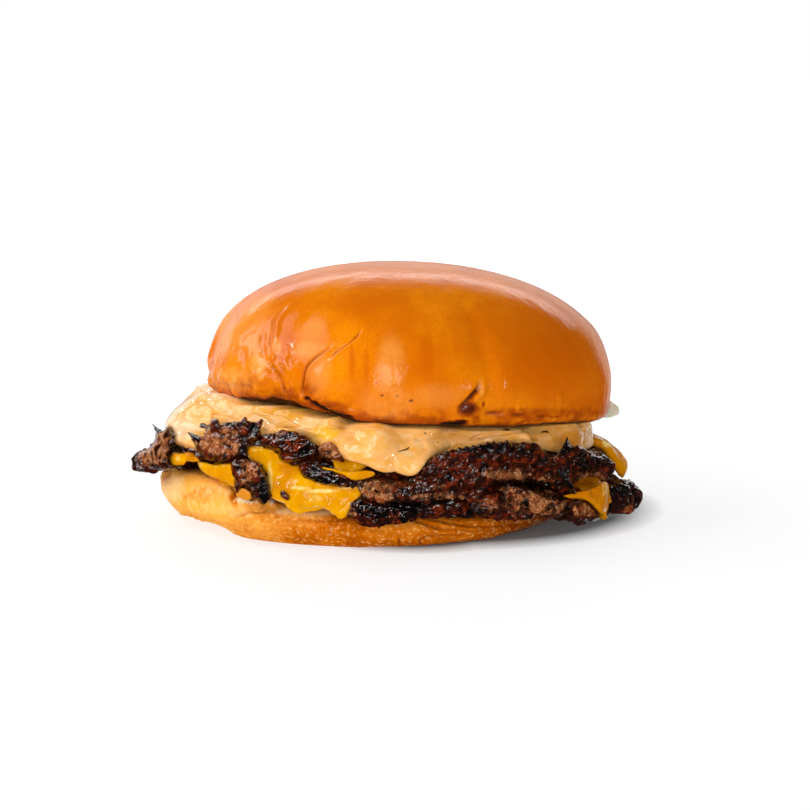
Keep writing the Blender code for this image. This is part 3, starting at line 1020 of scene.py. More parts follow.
@dataclass(frozen=True)
class GlazedCrust:
    """Shiny egg-washed crust: mottled orange brown and toasted at its rim, with painted shade in its creases, wrinkles
    and shaded right side, and painted highlights where reflections fall.
    """

    light: Colour = (0.83, 0.240, 0.001)
    deep: Colour = (0.58, 0.105, 0.000)
    toasted: Colour = (0.40, 0.066, 0.001)
    dark: Colour = (0.10, 0.014, 0.002)
    burnt: Colour = (0.010, 0.004, 0.003)
    pale_tone_and_highlight: Colour = (0.92, 0.40, 0.10)

    def build(self) -> Finish:
        """Makes the finish."""
        recipe = Recipe("glazed_crust")
        blush = recipe.cloud(17.0, 3.0, 0.35, 0.68)
        streak = recipe.cloud(6.0, 3.0, 0.40, 0.66, stretch=(1.0, 1.0, 0.35))
        fine = recipe.cloud(0.55, 3.0, 0.38, 0.66, 0.0, 0.42)
        edge = recipe.ragged("toast", 1.8, 4.0, -0.16, 0.16)
        colour = recipe.tinted(
            self.light,
            (self.deep, recipe.part(blush, 0.75)),
            (self.deep, recipe.part(streak, 0.35)),
            (self.deep, fine),
            # The deep mask paints darker tones, and shade on the right side and in the pleats.
            (self.deep, recipe.share("deep", 0.9)),
            (self.toasted, recipe.level(edge, 0.12, 0.50)),
            (self.dark, recipe.level(edge, 0.55, 0.90)),
            (self.burnt, recipe.level(edge, 0.98, 1.25)),
            # The pale mask paints highlights and reflections in a paler colour.
            (self.pale_tone_and_highlight, recipe.share("pale", 0.8)),
        )
        pores = recipe.level(recipe.cells(0.8), 0.05, 0.30)
        height = recipe.sum("ADD", recipe.noise(0.75), recipe.part(pores, 0.4))
        bump = recipe.bump(recipe.noise(3.0), 0.10, recipe.bump(height, 0.034))
        rough = recipe.cloud(5.0, 3.0, *USUAL, 0.34, 0.46)
        gloss = recipe.level(recipe.mask("wet"), 0.0, 1.0, 0.42, 0.85)
        settings = {"Coat Weight": gloss, "Coat Roughness": 0.11, **MATT}
        return Finish(recipe.done(colour, rough, bump, settings), Slot.CRUST)


@dataclass(frozen=True)
class SoftHeel:
    """The bottom of the bun: pale gold to orange brown, satin, with torn white crumb, painted shade at its right, its
    foot and its folds, and pale places that are partly painted highlight.
    """

    gold: Colour = (0.92, 0.40, 0.06)
    brown: Colour = (0.54, 0.120, 0.000)
    deep: Colour = (0.24, 0.036, 0.000)
    crumb: Colour = (1.0, 0.84, 0.58)
    dark: Colour = (0.16, 0.035, 0.006)
    pale: Colour = (0.95, 0.62, 0.30)
    speckle: Colour = (0.80, 0.26, 0.004)
    mottle: Colour = (0.96, 0.56, 0.16)

    def build(self) -> Finish:
        """Makes the finish."""
        recipe = Recipe("soft_heel")
        # Baked colour, with painted shade towards the foot and the right side.
        bake_and_shade = recipe.ragged("bake_and_shade", 6.0, 4.0, -0.28, 0.28)
        bake_and_shade = recipe.sum("ADD", bake_and_shade, recipe.cloud(1.3, 4.0, *USUAL, -0.16, 0.16))
        colour = recipe.tinted(
            self.gold,
            (self.brown, recipe.level(bake_and_shade, 0.0, 1.0)),
            # The deep tone paints that shade where the mask is highest.
            (self.deep, recipe.level(bake_and_shade, 0.95, 1.6)),
            (self.speckle, recipe.cloud(0.8, 3.0, 0.56, 0.70, 0.0, 0.3)),
            (self.mottle, recipe.cloud(1.0, 4.0, 0.54, 0.72, 0.0, 0.55)),
            # The pale mask is partly paler crust and partly painted highlight on the lit left side.
            (self.pale, recipe.level(recipe.ragged("pale", 2.0, 4.0, -0.25, 0.25), 0.10, 1.0, 0.0, 0.85)),
            # The dark mask paints shade in the folds and at the foot of the heel.
            (self.dark, recipe.share("dark", 0.95, 0.15)),
            (self.crumb, recipe.level(recipe.ragged("crumb", 0.9, 4.0, -0.6, 0.15), 0.25, 0.8)),
        )
        holes = recipe.level(recipe.cells(0.9), 0.05, 0.35)
        height = recipe.sum("ADD", recipe.noise(0.8, 4.0), recipe.part(holes, 0.35))
        bump = recipe.bump(recipe.noise(2.2), 0.22, recipe.bump(height, 0.10))
        settings = {"Subsurface Weight": 0.08, "Subsurface Scale": 0.003, "Coat Weight": 0.15, **MATT}
        rough = recipe.cloud(3.0, 3.0, *USUAL, 0.42, 0.6)
        return Finish(recipe.done(colour, rough, bump, settings), Slot.HEEL)


@dataclass(frozen=True)
class SearedBeef:
    """Smashed beef: a maroon, greasy crust burnt black at its edges, brown and grainy where it is torn, with painted
    shade in its pits and in the gap between the patties.
    """

    crust: Colour = (0.020, 0.003, 0.001)
    red: Colour = (0.170, 0.018, 0.002)
    burnt: Colour = (0.002, 0.001, 0.001)
    inner: Colour = (0.24, 0.055, 0.012)
    fibre: Colour = (0.56, 0.250, 0.100)

    def build(self) -> Finish:
        """Makes the finish."""
        recipe = Recipe("seared_beef")
        burn = recipe.ragged("char", 1.4, 4.0, -0.5, 0.5)
        pit = recipe.ragged("pit", 0.9, 3.0, -0.25, 0.25)
        torn = recipe.ragged("meat", 1.8, 4.0, -0.35, 0.35)
        inner = recipe.mix(self.inner, self.fibre, recipe.cloud(0.9, 3.0, 0.45, 0.64, warp=1.2))
        colour = recipe.tinted(
            self.crust,
            (self.red, recipe.cloud(2.0, 4.0, 0.46, 0.66)),
            (inner, recipe.level(torn, 0.30, 0.75)),
            # Painted shade in the hollows.
            (self.burnt, recipe.level(pit, 0.35, 1.0, 0.0, 0.92)),
            # The char mask is charred crust, and painted shade in the gap between the patties.
            (self.burnt, recipe.level(burn, 0.35, 0.85)),
        )
        grains, beads = (recipe.level(recipe.cells(size, "SMOOTH_F1"), 0.0, 0.8, 1.0, 0.0) for size in (1.1, 0.65))
        fine = recipe.bump(beads, 0.14, recipe.bump(grains, 0.18))
        shreds = recipe.bump(recipe.noise(1.3, 2.0, (0.7, 1.0, 1.3), 0.8), 0.12, fine)
        bump = recipe.bump(recipe.noise(1.7, 2.0), 0.35, shreds)
        grease = recipe.level(torn, 0.30, 0.90, 1.0, 0.45)
        settings = {"Coat Weight": grease, "Coat Roughness": 0.06, "Coat IOR": 1.9, **MATT}
        rough = recipe.cloud(1.1, 3.0, *USUAL, 0.3, 0.5)
        return Finish(recipe.done(colour, rough, bump, settings), Slot.BEEF)


@dataclass(frozen=True)
class MeltedCheese:
    """Melted cheese: deep yellow and glossy, with streaks of paler oil, darker orange tones, painted shade in darker
    orange, and painted highlights in cream.
    """

    yellow: Colour = (0.80, 0.345, 0.000)
    amber_and_shade: Colour = (0.56, 0.155, 0.000)
    cream: Colour = (0.93, 0.66, 0.20)

    def build(self) -> Finish:
        """Makes the finish."""
        recipe = Recipe("melted_cheese")
        colour = recipe.tinted(
            self.yellow,
            (self.amber_and_shade, recipe.part(recipe.cloud(5.0, 3.0, 0.35, 0.7), 0.65)),
            (self.cream, recipe.part(recipe.cloud(1.6, 4.0, 0.60, 0.70, warp=1.0), 0.20)),
            # Darker orange tones and painted shade, then painted highlights in cream.
            (self.amber_and_shade, recipe.share("amber_and_shade", 0.85)),
            (self.cream, recipe.level(recipe.ragged("pale", 1.5, 3.0, -0.2, 0.2), 0.35, 1.0)),
        )
        bump = recipe.bump(recipe.noise(1.8), 0.22, recipe.bump(recipe.noise(0.5, 2.0), 0.03))
        settings = {"Coat Weight": 0.7, "Coat Roughness": 0.06, "Subsurface Weight": 0.06, **MATT}
        rough = recipe.cloud(2.5, 2.0, *USUAL, 0.16, 0.34)
        return Finish(recipe.done(colour, rough, bump, settings), Slot.CHEESE)


@dataclass(frozen=True)
class PinkSauce:
    """Thick burger sauce: peach, glossy, streaked with yellow and flecked, with painted shade under the bun and
    painted highlights on a crest and an edge.
    """

    peach: Colour = (0.93, 0.44, 0.13)
    yellow: Colour = (0.90, 0.36, 0.035)
    cream: Colour = (0.96, 0.62, 0.28)
    grease: Colour = (0.62, 0.20, 0.004)
    white: Colour = (0.95, 0.72, 0.48)
    gold: Colour = (0.92, 0.45, 0.03)
    herb: Colour = (0.30, 0.20, 0.05)
    shade: Colour = (0.28, 0.11, 0.03)

    def build(self) -> Finish:
        """Makes the finish."""
        recipe = Recipe("burger_sauce")
        colour = recipe.tinted(
            self.peach,
            (self.yellow, recipe.part(recipe.cloud(4.5, 4.0, 0.42, 0.64, stretch=(1.0, 1.0, 1.6)), 0.8)),
            (self.cream, recipe.part(recipe.cloud(3.0, 4.0, 0.48, 0.70, stretch=(1.0, 1.0, 2.0)), 0.55)),
            (self.gold, recipe.level(recipe.ragged("gold", 1.8, 3.0, -0.3, 0.3), 0.25, 0.9)),
            # The grease mask is greasy tone, and painted shade under the bun's rim; the white mask is paler sauce, and
            # painted highlights.
            (self.grease, recipe.share("grease", 0.9)),
            (self.white, recipe.share("white", 0.8)),
            (self.herb, recipe.share("herb", 0.6, 0.1)),
            (self.shade, recipe.share("shade", 0.8, 0.1)),
        )
        bump = recipe.bump(recipe.noise(2.6, 2.0, (1.0, 1.0, 1.7)), 0.36, recipe.bump(recipe.noise(0.7), 0.03))
        settings = {"Coat Weight": 1.0, "Coat Roughness": 0.07, "Subsurface Weight": 0.06, **MATT}
        rough = recipe.cloud(2.0, 3.0, *USUAL, 0.24, 0.42)
        return Finish(recipe.done(colour, rough, bump, settings), Slot.SAUCE)


@dataclass(frozen=True)
class RawOnion:
    """Raw onion: pale, wet and see-through, with faint lengthwise veins."""

    flesh: Colour = (0.92, 0.90, 0.74)
    vein: Colour = (0.74, 0.76, 0.50)

    def build(self) -> Finish:
        """Makes the finish."""
        recipe = Recipe("raw_onion")
        veins = recipe.cloud(0.7, 3.0, 0.45, 0.65, stretch=(1.0, 0.2, 1.0))
        colour = recipe.mix(self.flesh, self.vein, recipe.part(veins, 0.5))
        bump = recipe.bump(recipe.noise(0.6, 2.0), 0.05)
        settings = {"Coat Weight": 0.5, "Coat Roughness": 0.1, "Subsurface Weight": 0.3, "Subsurface Scale": 0.002}
        return Finish(recipe.done(colour, recipe.level(veins, 0.0, 1.0, 0.2, 0.3), bump, settings), Slot.ONION)


@dataclass(frozen=True)
class Speck:
    """Dots of one dark or pale colour, a little varied."""

    name: str
    colour: Colour
    other: Colour
    rough: float = 0.4

    def build(self) -> Finish:
        """Makes the finish."""
        recipe = Recipe(self.name)
        colour = recipe.mix(self.colour, self.other, recipe.cloud(0.9, 3.0, 0.35, 0.65))
        rough = recipe.cloud(0.5, 2.0, *USUAL, self.rough - 0.1, self.rough + 0.1)
        bump = recipe.bump(recipe.noise(0.3, 2.0), 0.03)
        return Finish(recipe.done(colour, rough, bump, {"Coat Weight": 0.15, "Specular IOR Level": 0.02}), Slot.SAUCE)


@dataclass(frozen=True)
class Strewing:
    """Small lumps strewn over pieces by a node tree of its own.

    Attributes:
        name: the new piece's name.
        dense: how many lumps there are on a square centimetre.
        size: a lump's radius.
        uneven: how much the lumps' sizes and shapes differ, as a share.
        flat: a lump's height as a share of its width.
        seed: fixes the random draws.
        segments: how many sides a lump has.
        rings: how many rings it has from pole to pole.
    """

    name: str
    dense: float
    size: float
    uneven: float
    flat: float
    seed: int
    segments: int = 7
    rings: int = 5

    def tree(self, material: bpy.types.Material) -> tuple[bpy.types.NodeTree, dict[str, str]]:
        """Builds the node tree.

        Args:
            material: the lumps' finish.

        Returns:
            The tree, and the identifier of each named input.
        """
        tree = bpy.data.node_groups.new(self.name, "GeometryNodeTree")
        face = tree.interface
        face.new_socket("Surface", in_out="INPUT", socket_type="NodeSocketGeometry")
        kinds = {"Density": "Float", "Size": "Float", "Unevenness": "Float", "Flatness": "Float", "Seed": "Int"}
        keys = {
            label: face.new_socket(label, in_out="INPUT", socket_type=f"NodeSocket{kind}").identifier
            for label, kind in kinds.items()
        }
        face.new_socket("Lumps", in_out="OUTPUT", socket_type="NodeSocketGeometry")

        def node(kind: str, inputs: dict, **settings: object) -> bpy.types.Node:
            """Adds a node to the tree."""
            return add_node(tree, kind, inputs, **settings)

        def number(kind: str, first: object, second: object) -> bpy.types.NodeSocket:
            """One operation on two values."""
            return node("ShaderNodeMath", {0: first, 1: second}, operation=kind).outputs[0]

        def chance(least: object, most: object, seed: object) -> bpy.types.NodeSocket:
            """A random value for each lump."""
            inputs = {2: least, 3: most, "Seed": seed}
            return node("FunctionNodeRandomValue", inputs, data_type="FLOAT").outputs[1]

        given = node("NodeGroupInput", {}).outputs
        where = node("GeometryNodeInputNamedAttribute", {"Name": "where"}, data_type="FLOAT").outputs["Attribute"]
        spread = node(
            "GeometryNodeDistributePointsOnFaces",
            {"Mesh": given["Surface"], "Density": number("MULTIPLY", given["Density"], where), "Seed": given["Seed"]},
            distribute_method="RANDOM",
        )
        ball = node(
            "GeometryNodeMeshUVSphere", {"Segments": self.segments, "Rings": self.rings, "Radius": given["Size"]}
        )
        least, most = (number(kind, 1.0, given["Unevenness"]) for kind in ("SUBTRACT", "ADD"))
        grow = chance(least, most, given["Seed"])
        height = number("MULTIPLY", grow, given["Flatness"])
        spin = node("ShaderNodeCombineXYZ", {2: chance(0.0, WHOLE_TURN, SPIN_SEED)}).outputs[0]
        turned = node(
            "FunctionNodeRotateRotation",
            {"Rotation": spread.outputs["Rotation"], "Rotate By": spin},
            rotation_space="LOCAL",
        )
        scale = node("ShaderNodeCombineXYZ", {0: grow, 1: grow, 2: height}).outputs[0]
        lumps = {"Points": spread.outputs["Points"], "Instance": ball.outputs["Mesh"]}
        lumps |= {"Rotation": turned.outputs[0], "Scale": scale}
        laid = node("GeometryNodeInstanceOnPoints", lumps).outputs[0]
        toned = node(
            "GeometryNodeStoreNamedAttribute",
            {"Geometry": laid, "Name": "tone", "Value": chance(0.0, 1.0, TONE_SEED)},
            data_type="FLOAT",
            domain="INSTANCE",
        )
        real = node("GeometryNodeRealizeInstances", {"Geometry": toned.outputs[0]}).outputs[0]
        rough = node("ShaderNodeTexNoise", {"Scale": 0.35 / (self.size * MM), "Detail": 1.0}).outputs["Color"]
        centred = node("ShaderNodeVectorMath", {0: rough, 1: (0.5, 0.5, 0.5)}, operation="SUBTRACT").outputs[0]
        reach = number("MULTIPLY", given["Size"], 2.6)
        offset = node("ShaderNodeVectorMath", {0: centred, "Scale": reach}, operation="SCALE").outputs[0]
        moved = node("GeometryNodeSetPosition", {"Geometry": real, "Offset": offset}).outputs[0]
        smooth = node("GeometryNodeSetShadeSmooth", {"Geometry": moved}).outputs[0]
        dressed = node("GeometryNodeSetMaterial", {"Geometry": smooth, "Material": material}).outputs[0]
        node("NodeGroupOutput", {0: dressed})
        return tree, keys

    def over(self, pieces: list[bpy.types.Object], mask: str, finish: Finish) -> bpy.types.Object:
        """Strews the lumps over pieces and makes them one plain mesh.

        Args:
            pieces: what the lumps lie on.
            mask: the pieces' mask that says how thick the lumps lie.
            finish: the lumps' finish.

        Returns:
            The new piece.
        """
        host = placed(self.name + "_host", surface_of(pieces, mask))
        tree, keys = self.tree(finish.material)
        modifier = host.modifiers.new("strewing", "NODES")
        modifier.node_group = tree
        sizes = {
            "Density": self.dense * 1e4,
            "Size": self.size * MM,
            "Unevenness": self.uneven,
            "Flatness": self.flat,
            "Seed": self.seed,
        }
        for label, value in sizes.items():
            modifier[keys[label]] = value
        shown = host.evaluated_get(bpy.context.evaluated_depsgraph_get())
        mesh = bpy.data.meshes.new_from_object(shown)
        host.modifiers.remove(modifier)
        bpy.data.objects.remove(host)
        mesh.vertices.foreach_set("co", boxed(read(mesh.vertices, "co", 3).reshape(-1, 3)).ravel())
        mesh.name = self.name
        return settled(placed(self.name, mesh))


def read(rows: object, name: str, width: int) -> Array:
    """Reads one property of a mesh's rows as numbers, one after another."""
    values = np.zeros(width * len(rows), np.int32 if name == "vertex_index" else np.float32)
    rows.foreach_get(name, values)
    return values


def surface_of(pieces: list[bpy.types.Object], mask: str) -> bpy.types.Mesh:
    """Copies pieces' surfaces into one mesh.

    Args:
        pieces: the pieces.
        mask: their mask that becomes the new mesh's "where".

    Returns:
        The new mesh.
    """
    points, corners, where, count = [], [], [], 0
    for piece in pieces:
        mesh = piece.data
        points.append(read(mesh.vertices, "co", 3))
        corners.append(read(mesh.loops, "vertex_index", 1) + count)
        where.append(read(mesh.attributes[mask].data, "value", 1))
        count += len(mesh.vertices)
    masks = {"where": np.concatenate(where)}
    return raw_mesh("surface", np.concatenate(points), np.concatenate(corners), masks)


def dented(skin: Skin, dents: tuple[Blot, ...]) -> None:
    """Pulls the front half of a skin in where dents are drawn in the picture, by their amounts in mm."""
    places = VIEW.places(skin.points)
    amount = np.zeros(places.shape[:-1])
    for dent in dents:
        amount += dent.at(places)
    radial = unit(skin.points * np.array([1.0, 1.0, 0.0]))
    skin.points = skin.points - radial * (amount * smooth_step(-skin.points[..., 1], *LIFT_FADE))[..., None]


@dataclass(frozen=True)
class BunTop:
    """The glossy top of the bun."""

    node: str = "bun_top"
    axis: float = 6.0
    steps: int = 84
    apex: float = 65.13
    grain: Grain = Grain(0.37, 0.85, 0.53, 3.0)
    visible: float = 44.0
    seed: int = 11
    rim: float = 3.6
    dents: tuple[Blot, ...] = blots((203, 328, 24, 44, 2.0), (226, 304, 18, 20, 0.9), (613, 345, 14, 24, 0.4))
    lifted: tuple[Blot, ...] = blots((204, 396, 26, 16, 1.3))

    creases: tuple[Crease, ...] = (
        Crease(
            ((268.8, 356), (270, 347), (271.5, 338), (273.5, 329), (274.5, 320), (280, 312), (289, 302)),
            0.42, 0.40, 0.40, 0.25,
        ),
        Crease(((266, 366), (263.5, 357), (262, 346), (262.5, 336), (265, 326)), 0.80, 0.45, 0.0, 0.10),
        Crease(
            ((287.5, 400), (286, 394), (283, 384), (278.6, 374), (271, 364), (268.6, 357)),
            0.32, 0.60, 0.35, 0.62,
        ),
        Crease(
            ((327.5, 358), (331.7, 356.7), (337, 351), (345, 345.5), (357, 336), (362.5, 325)),
            0.26, 0.35, 0.14, 0.40,
        ),
        Crease(
            ((302.5, 396), (303, 384), (304, 378), (305, 371.7), (308, 365), (315, 358), (323, 351.7), (332, 346.5)),
            0.34, 0.70, 0.50, 0.75,
        ),
        Crease(
            ((458.6, 415), (461.4, 408), (467, 401), (473, 394.5), (478.6, 388), (481, 379)),
            0.60, 0.85, 0.60, 1.0,
        ),
        Crease(((357, 419.5), (341.7, 416.7), (327, 411.7), (313, 403.5), (302, 395)), 0.70, 1.10, 0.60, 1.6),
        Crease(
            ((474, 411), (490, 412.5), (510, 414), (530, 415.5), (553, 416.6), (575, 417)),
            0.32, 0.25, 0.20, 0.85,
        ),
        Crease(((556, 406), (556.5, 399), (556, 392)), 0.40, 0.10, 0.35, 0.0),
        Crease(((516, 416), (514, 409), (516, 403)), 0.40, 0.20, 0.30, 0.30),
    )
    toasts: tuple[Blot, ...] = blots(
        (452, 424.0, 15, 3.0, 1.5), (461, 421.5, 8, 2.2, 1.3), (322, 405, 26, 5, 0.60), (468, 409, 11, 8, 0.95),
        (309, 391, 10, 9, 0.42), (307, 398, 4, 2.4, 1.2), (314, 403, 5, 2.6, 1.45), (322, 407.5, 6, 2.6, 1.45),
        (331, 411, 6, 2.2, 1.25), (347, 416.5, 9, 2.0, 1.1), (384, 421, 12, 3, 0.9), (530, 413, 60, 6, 0.45),
        (574, 413, 36, 4, 0.45), (470, 412, 14, 7, 0.45), (330, 413, 26, 5, 0.7), (483.5, 404, 2.0, 2.0, 0.8),
        (382, 395, 1.3, 1.3, 1.3), (397, 396, 1.2, 1.2, 1.2), (411, 401, 1.9, 1.4, 1.4),
    )
    # Darker tones; the broad blots on the right paint the shade of the side away from the light.
    deep_tones_and_shade: tuple[Blot, ...] = blots(
        (352, 362, 3.5, 18, 0.75), (366.5, 366, 3, 20, 0.60), (370, 300, 40, 10, 0.55), (287, 341, 7, 12, 0.75),
        (427, 357, 8, 26, 0.75), (548, 362, 52, 42, 0.95), (500, 340, 60, 34, 0.6), (264, 340, 5, 18, 0.8),
        (590, 404, 26, 14, 0.8),
    )
    # Painted highlights: window reflections and glints on the crust, as pale blots.
    painted_highlights: tuple[Blot, ...] = blots(
        (391, 368, 13, 30, 0.50), (388, 402, 26, 16, 0.40), (308, 350, 16, 8, 0.35), (319, 372, 11, 20, 0.35),
        (258, 366, 8, 12, 0.80), (277, 346, 4, 8, 0.70), (248, 325, 26, 40, 0.30), (230, 330, 12, 30, 0.40),
        (226, 380, 28, 13, 0.60), (435, 396, 26, 12, 0.22), (480.5, 388, 2.5, 8, 0.50),
    )

    def build(self, finish: Finish) -> bpy.types.Object:
        """Makes the bun's top from its packed dome.

        Args:
            finish: the glazed crust.

        Returns:
            The new piece.
        """
        rings = read_rings(self.node, self.axis, self.steps, 1.0)
        tip = np.array([self.axis, 0.0, self.apex - 0.3])
        skin = Skin.of(rings, self.axis, self.grain, self.visible, tip)
        radius = radius_of(skin.points, self.axis)
        corner = np.argmax(radius > radius.max(axis=1, keepdims=True) - self.rim, axis=1)[:, None]
        height = skin.points[..., 2] - np.take_along_axis(skin.points[..., 2], corner, axis=1)
        dented(skin, self.dents)
        side = smooth_step(radius, 44.0, 50.0)
        low = side * (1.0 - smooth_step(height, 1.0, 13.0))
        left = smooth_step(-skin.points[..., 0], 5.0, 30.0)
        wrinkles = swell(skin.points * np.array([0.9, 0.9, 0.6]), 3.4, self.seed, 4)
        folds = 1.0 - np.abs(swell(skin.points * np.array([0.5, 0.5, 1.2]), 5.5, self.seed + 5, 3))
        skin.push(
            0.35 * swell(skin.points, 24.0, self.seed, 2) * side
            + 0.7 * np.exp(-(((height - 1.2) / 1.8) ** 2)) * side
            + 0.03 * swell(skin.points, 2.2, self.seed + 1, 2)
            + low * (0.12 + 0.55 * left) * wrinkles
            + low * left * 0.60 * (folds - 0.6)
        )
        places = VIEW.places(skin.points)
        ahead = skin.ahead()
        blister = blotted(places, blots((388, 388, 24, 34, 1.0), (240, 378, 30, 22, 0.8))) * ahead
        skin.push(0.07 * blister * swell(skin.points, 1.3, self.seed + 2, 2))
        worn = blotted(places, blots((262, 364, 36, 32, 1.0), (225, 385, 30, 16, 0.8))) * ahead
        pleats = swell(skin.points * np.array([1.0, 1.0, 0.65]), 2.3, self.seed + 9, 3)
        skin.push(worn * (0.24 * pleats + 0.20 * (0.7 - np.abs(pleats))))
        # The creases raise the toast mask in their grooves: painted shade, and toasting where a crease is burnt.
        for crease in self.creases:
            skin.crease(crease, "toast")
        streaks = smooth_step(swell(skin.points * np.array([0.55, 0.55, 0.9]), 2.6, self.seed + 8, 4), -0.5, 0.5)
        line = 1.10 * (1.0 - smooth_step(height, 0.5 - 0.3 * left, 1.4 - 0.6 * left))
        band = (0.54 - 0.08 * left) * (1.0 - smooth_step(height, 2.0, 6.0)) * (0.25 + 0.75 * streaks)
        # Painted shade in the hollows of the wrinkles at the lower left.
        valley_shade = 0.45 * low * left * smooth_step(-wrinkles, 0.0, 0.5)
        skin.paint("toast", np.maximum(np.maximum(line, band), valley_shade))
        skin.paint("toast", blotted(places, self.toasts) * ahead)
        # Paints darker tones, and shade on the right side and in the hollows of the pleats.
        skin.paint("deep", blotted(places, self.deep_tones_and_shade) * ahead)
        skin.paint("deep", 0.75 * worn * smooth_step(-pleats, 0.0, 0.45))
        skin.paint("wet", worn)
        crackle = smooth_step(swell(skin.points, 1.2, self.seed + 3, 2), -0.5, 0.5)
        # Paints the highlights and reflections into the pale mask.
        skin.paint("pale", blotted(places, self.painted_highlights) * ahead * (1.0 - 0.6 * blister * crackle))
        dots = smooth_step(skin.points[..., 2], 36.0, 42.0) * 0.25
        skin.paint("dots", np.maximum(dots, np.maximum(0.6 * blister, low * 0.4)) * side)
        lift = blotted(places, self.lifted) * smooth_step(-skin.points[..., 1], *LIFT_FADE)
        skin.points[..., 2] += lift * side * (1.0 - smooth_step(height, 1.0, 10.0))
        skin.points[..., 2] = np.minimum(skin.points[..., 2], self.apex)
        return skin.piece(self.node, finish)


@dataclass(frozen=True)
class BunHeel:
    """The soft bottom of the bun, folded at its front right and torn at its front left."""

    node: str = "bun_heel"
    axis: float = -5.3
    steps: int = 84
    grain: Grain = Grain(0.40, 0.8, 0.40, 3.0)
    visible: float = 44.0
    seed: int = 23

    creases: tuple[Crease, ...] = (
        Crease(((405, 516), (418, 521), (436, 527), (458, 530), (480, 532), (504, 529.5)), 0.45, 0.55, 0.30, 0.5),
        Crease(((424, 517), (446, 522), (470, 526), (494, 527), (520, 524), (545, 520)), 0.40, 0.50, 0.30, 0.5),
        Crease(((412, 541), (434, 537.5), (454, 535.5), (482, 535)), 0.35, 0.40, 0.25, 0.4),
        Crease(((350, 527), (380, 530), (400, 534), (420, 533)), 0.60, 0.30, 0.20, 0.2),
        Crease(((399, 538), (399.5, 546)), 0.30, 0.7, 0.2, 0.8),
        Crease(((420.5, 538), (420, 546)), 0.30, 0.7, 0.2, 0.8),
        Crease(((229, 510), (236, 515), (242, 515.6), (249, 511.5), (258, 512), (269, 510.6)), 0.35, 0.55, 0.35, 0.5),
        Crease(((170, 480), (176, 492), (184, 503)), 1.2, 0.25, 0.1, 0.0),
        Crease(((284, 519), (300, 519.5), (320, 520.5), (338, 520)), 0.35, 0.30, 0.25, 0.15),
    )

    lifted: tuple[Blot, ...] = blots((205, 487, 36, 16, 2.0), (184, 477, 16, 9, 1.0))
    rounded: tuple[Blot, ...] = blots((200, 527, 36, 16, 2.2), (172, 505, 16, 20, 1.0), (528, 528, 44, 14, -1.6))

    def build(self, finish: Finish) -> bpy.types.Object:
        """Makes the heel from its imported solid.

        Args:
            finish: the soft crust.

        Returns:
            The new piece.
        """
        skin = Skin.of(read_rings(self.node, self.axis, self.steps, 1.0), self.axis, self.grain, self.visible)
        height = skin.points[..., 2]
        radius = radius_of(skin.points, self.axis)
        side = smooth_step(radius, 45.5, 48.5)
        skin.push(
            side
            * (
                0.30 * swell(skin.points, 14.0, self.seed, 3)
                + 0.12 * swell(skin.points * np.array([0.6, 0.6, 1.8]), 4.0, self.seed + 1, 3)
                + 0.07 * swell(skin.points, 1.2, self.seed + 2, 2)
            )
        )
        # The creases raise the dark mask in their grooves: painted shade in the folds.
        for crease in self.creases:
            skin.crease(crease, "dark")
        places = VIEW.places(skin.points)
        ahead = skin.ahead()
        torn = blotted(places, blots((249, 502, 13, 5, 1.0), (272, 504, 6, 4, 0.9))) * ahead
        skin.push(1.5 * torn + 0.6 * torn * swell(skin.points, 1.4, self.seed + 3, 3))
        bake_and_shade = smooth_step(skin.points[..., 0], -48.0, -8.0) * 0.92
        # Painted shade: darker towards the foot, and to the right on the side away from the light.
        bake_and_shade = bake_and_shade + 0.30 * smooth_step(-height, -7.0, -0.5) * side
        bake_and_shade = bake_and_shade + 0.8 * smooth_step(skin.points[..., 0], 14.0, 46.0)
        spots = blots(
            (166, 480, 7, 7, 0.8), (243, 494, 12, 7, 1.1), (205, 500, 20, 6, 0.5), (279, 514, 8, 7, 0.9),
            (236, 500, 7, 6, 1.2),
        )
        light = blots((186, 488, 16, 9, 0.35), (222, 505, 12, 6, 0.25), (312, 511, 30, 6, 0.75))
        bake_and_shade = np.maximum(bake_and_shade, blotted(places, spots) * ahead) - blotted(places, light) * ahead
        skin.paint("bake_and_shade", bake_and_shade)
        lift = blotted(places, self.lifted) * smooth_step(-skin.points[..., 1], *LIFT_FADE)
        skin.points[..., 2] += lift * smooth_step(height, 2.0, 8.0)
        skin.points[..., 2] += blotted(places, self.rounded) * ahead * (1.0 - smooth_step(height, 0.0, 7.0))
        skin.paint("crumb", torn)
        # Pale places: partly paler crust and partly painted highlight on the lit left side.
        pale_tone_and_highlight = blots((172, 490, 14, 14, 0.7), (205, 500, 30, 14, 0.2), (235, 512, 20, 6, 0.4), (306, 511, 30, 5, 0.8))
        skin.paint("pale", blotted(places, pale_tone_and_highlight) * ahead)
        skin.paint("crumb", 0.9 * (1.0 - smooth_step(radius, 41.0, 44.0)) * smooth_step(height, 5.0, 9.0))
        # Painted shade at the foot of the heel, next to the table.
        skin.paint("dark", 0.9 * np.exp(-((height / 0.45) ** 2)) * side)
        skin.points[..., 2] = np.maximum(skin.points[..., 2], 0.0)
        return skin.piece(self.node, finish)


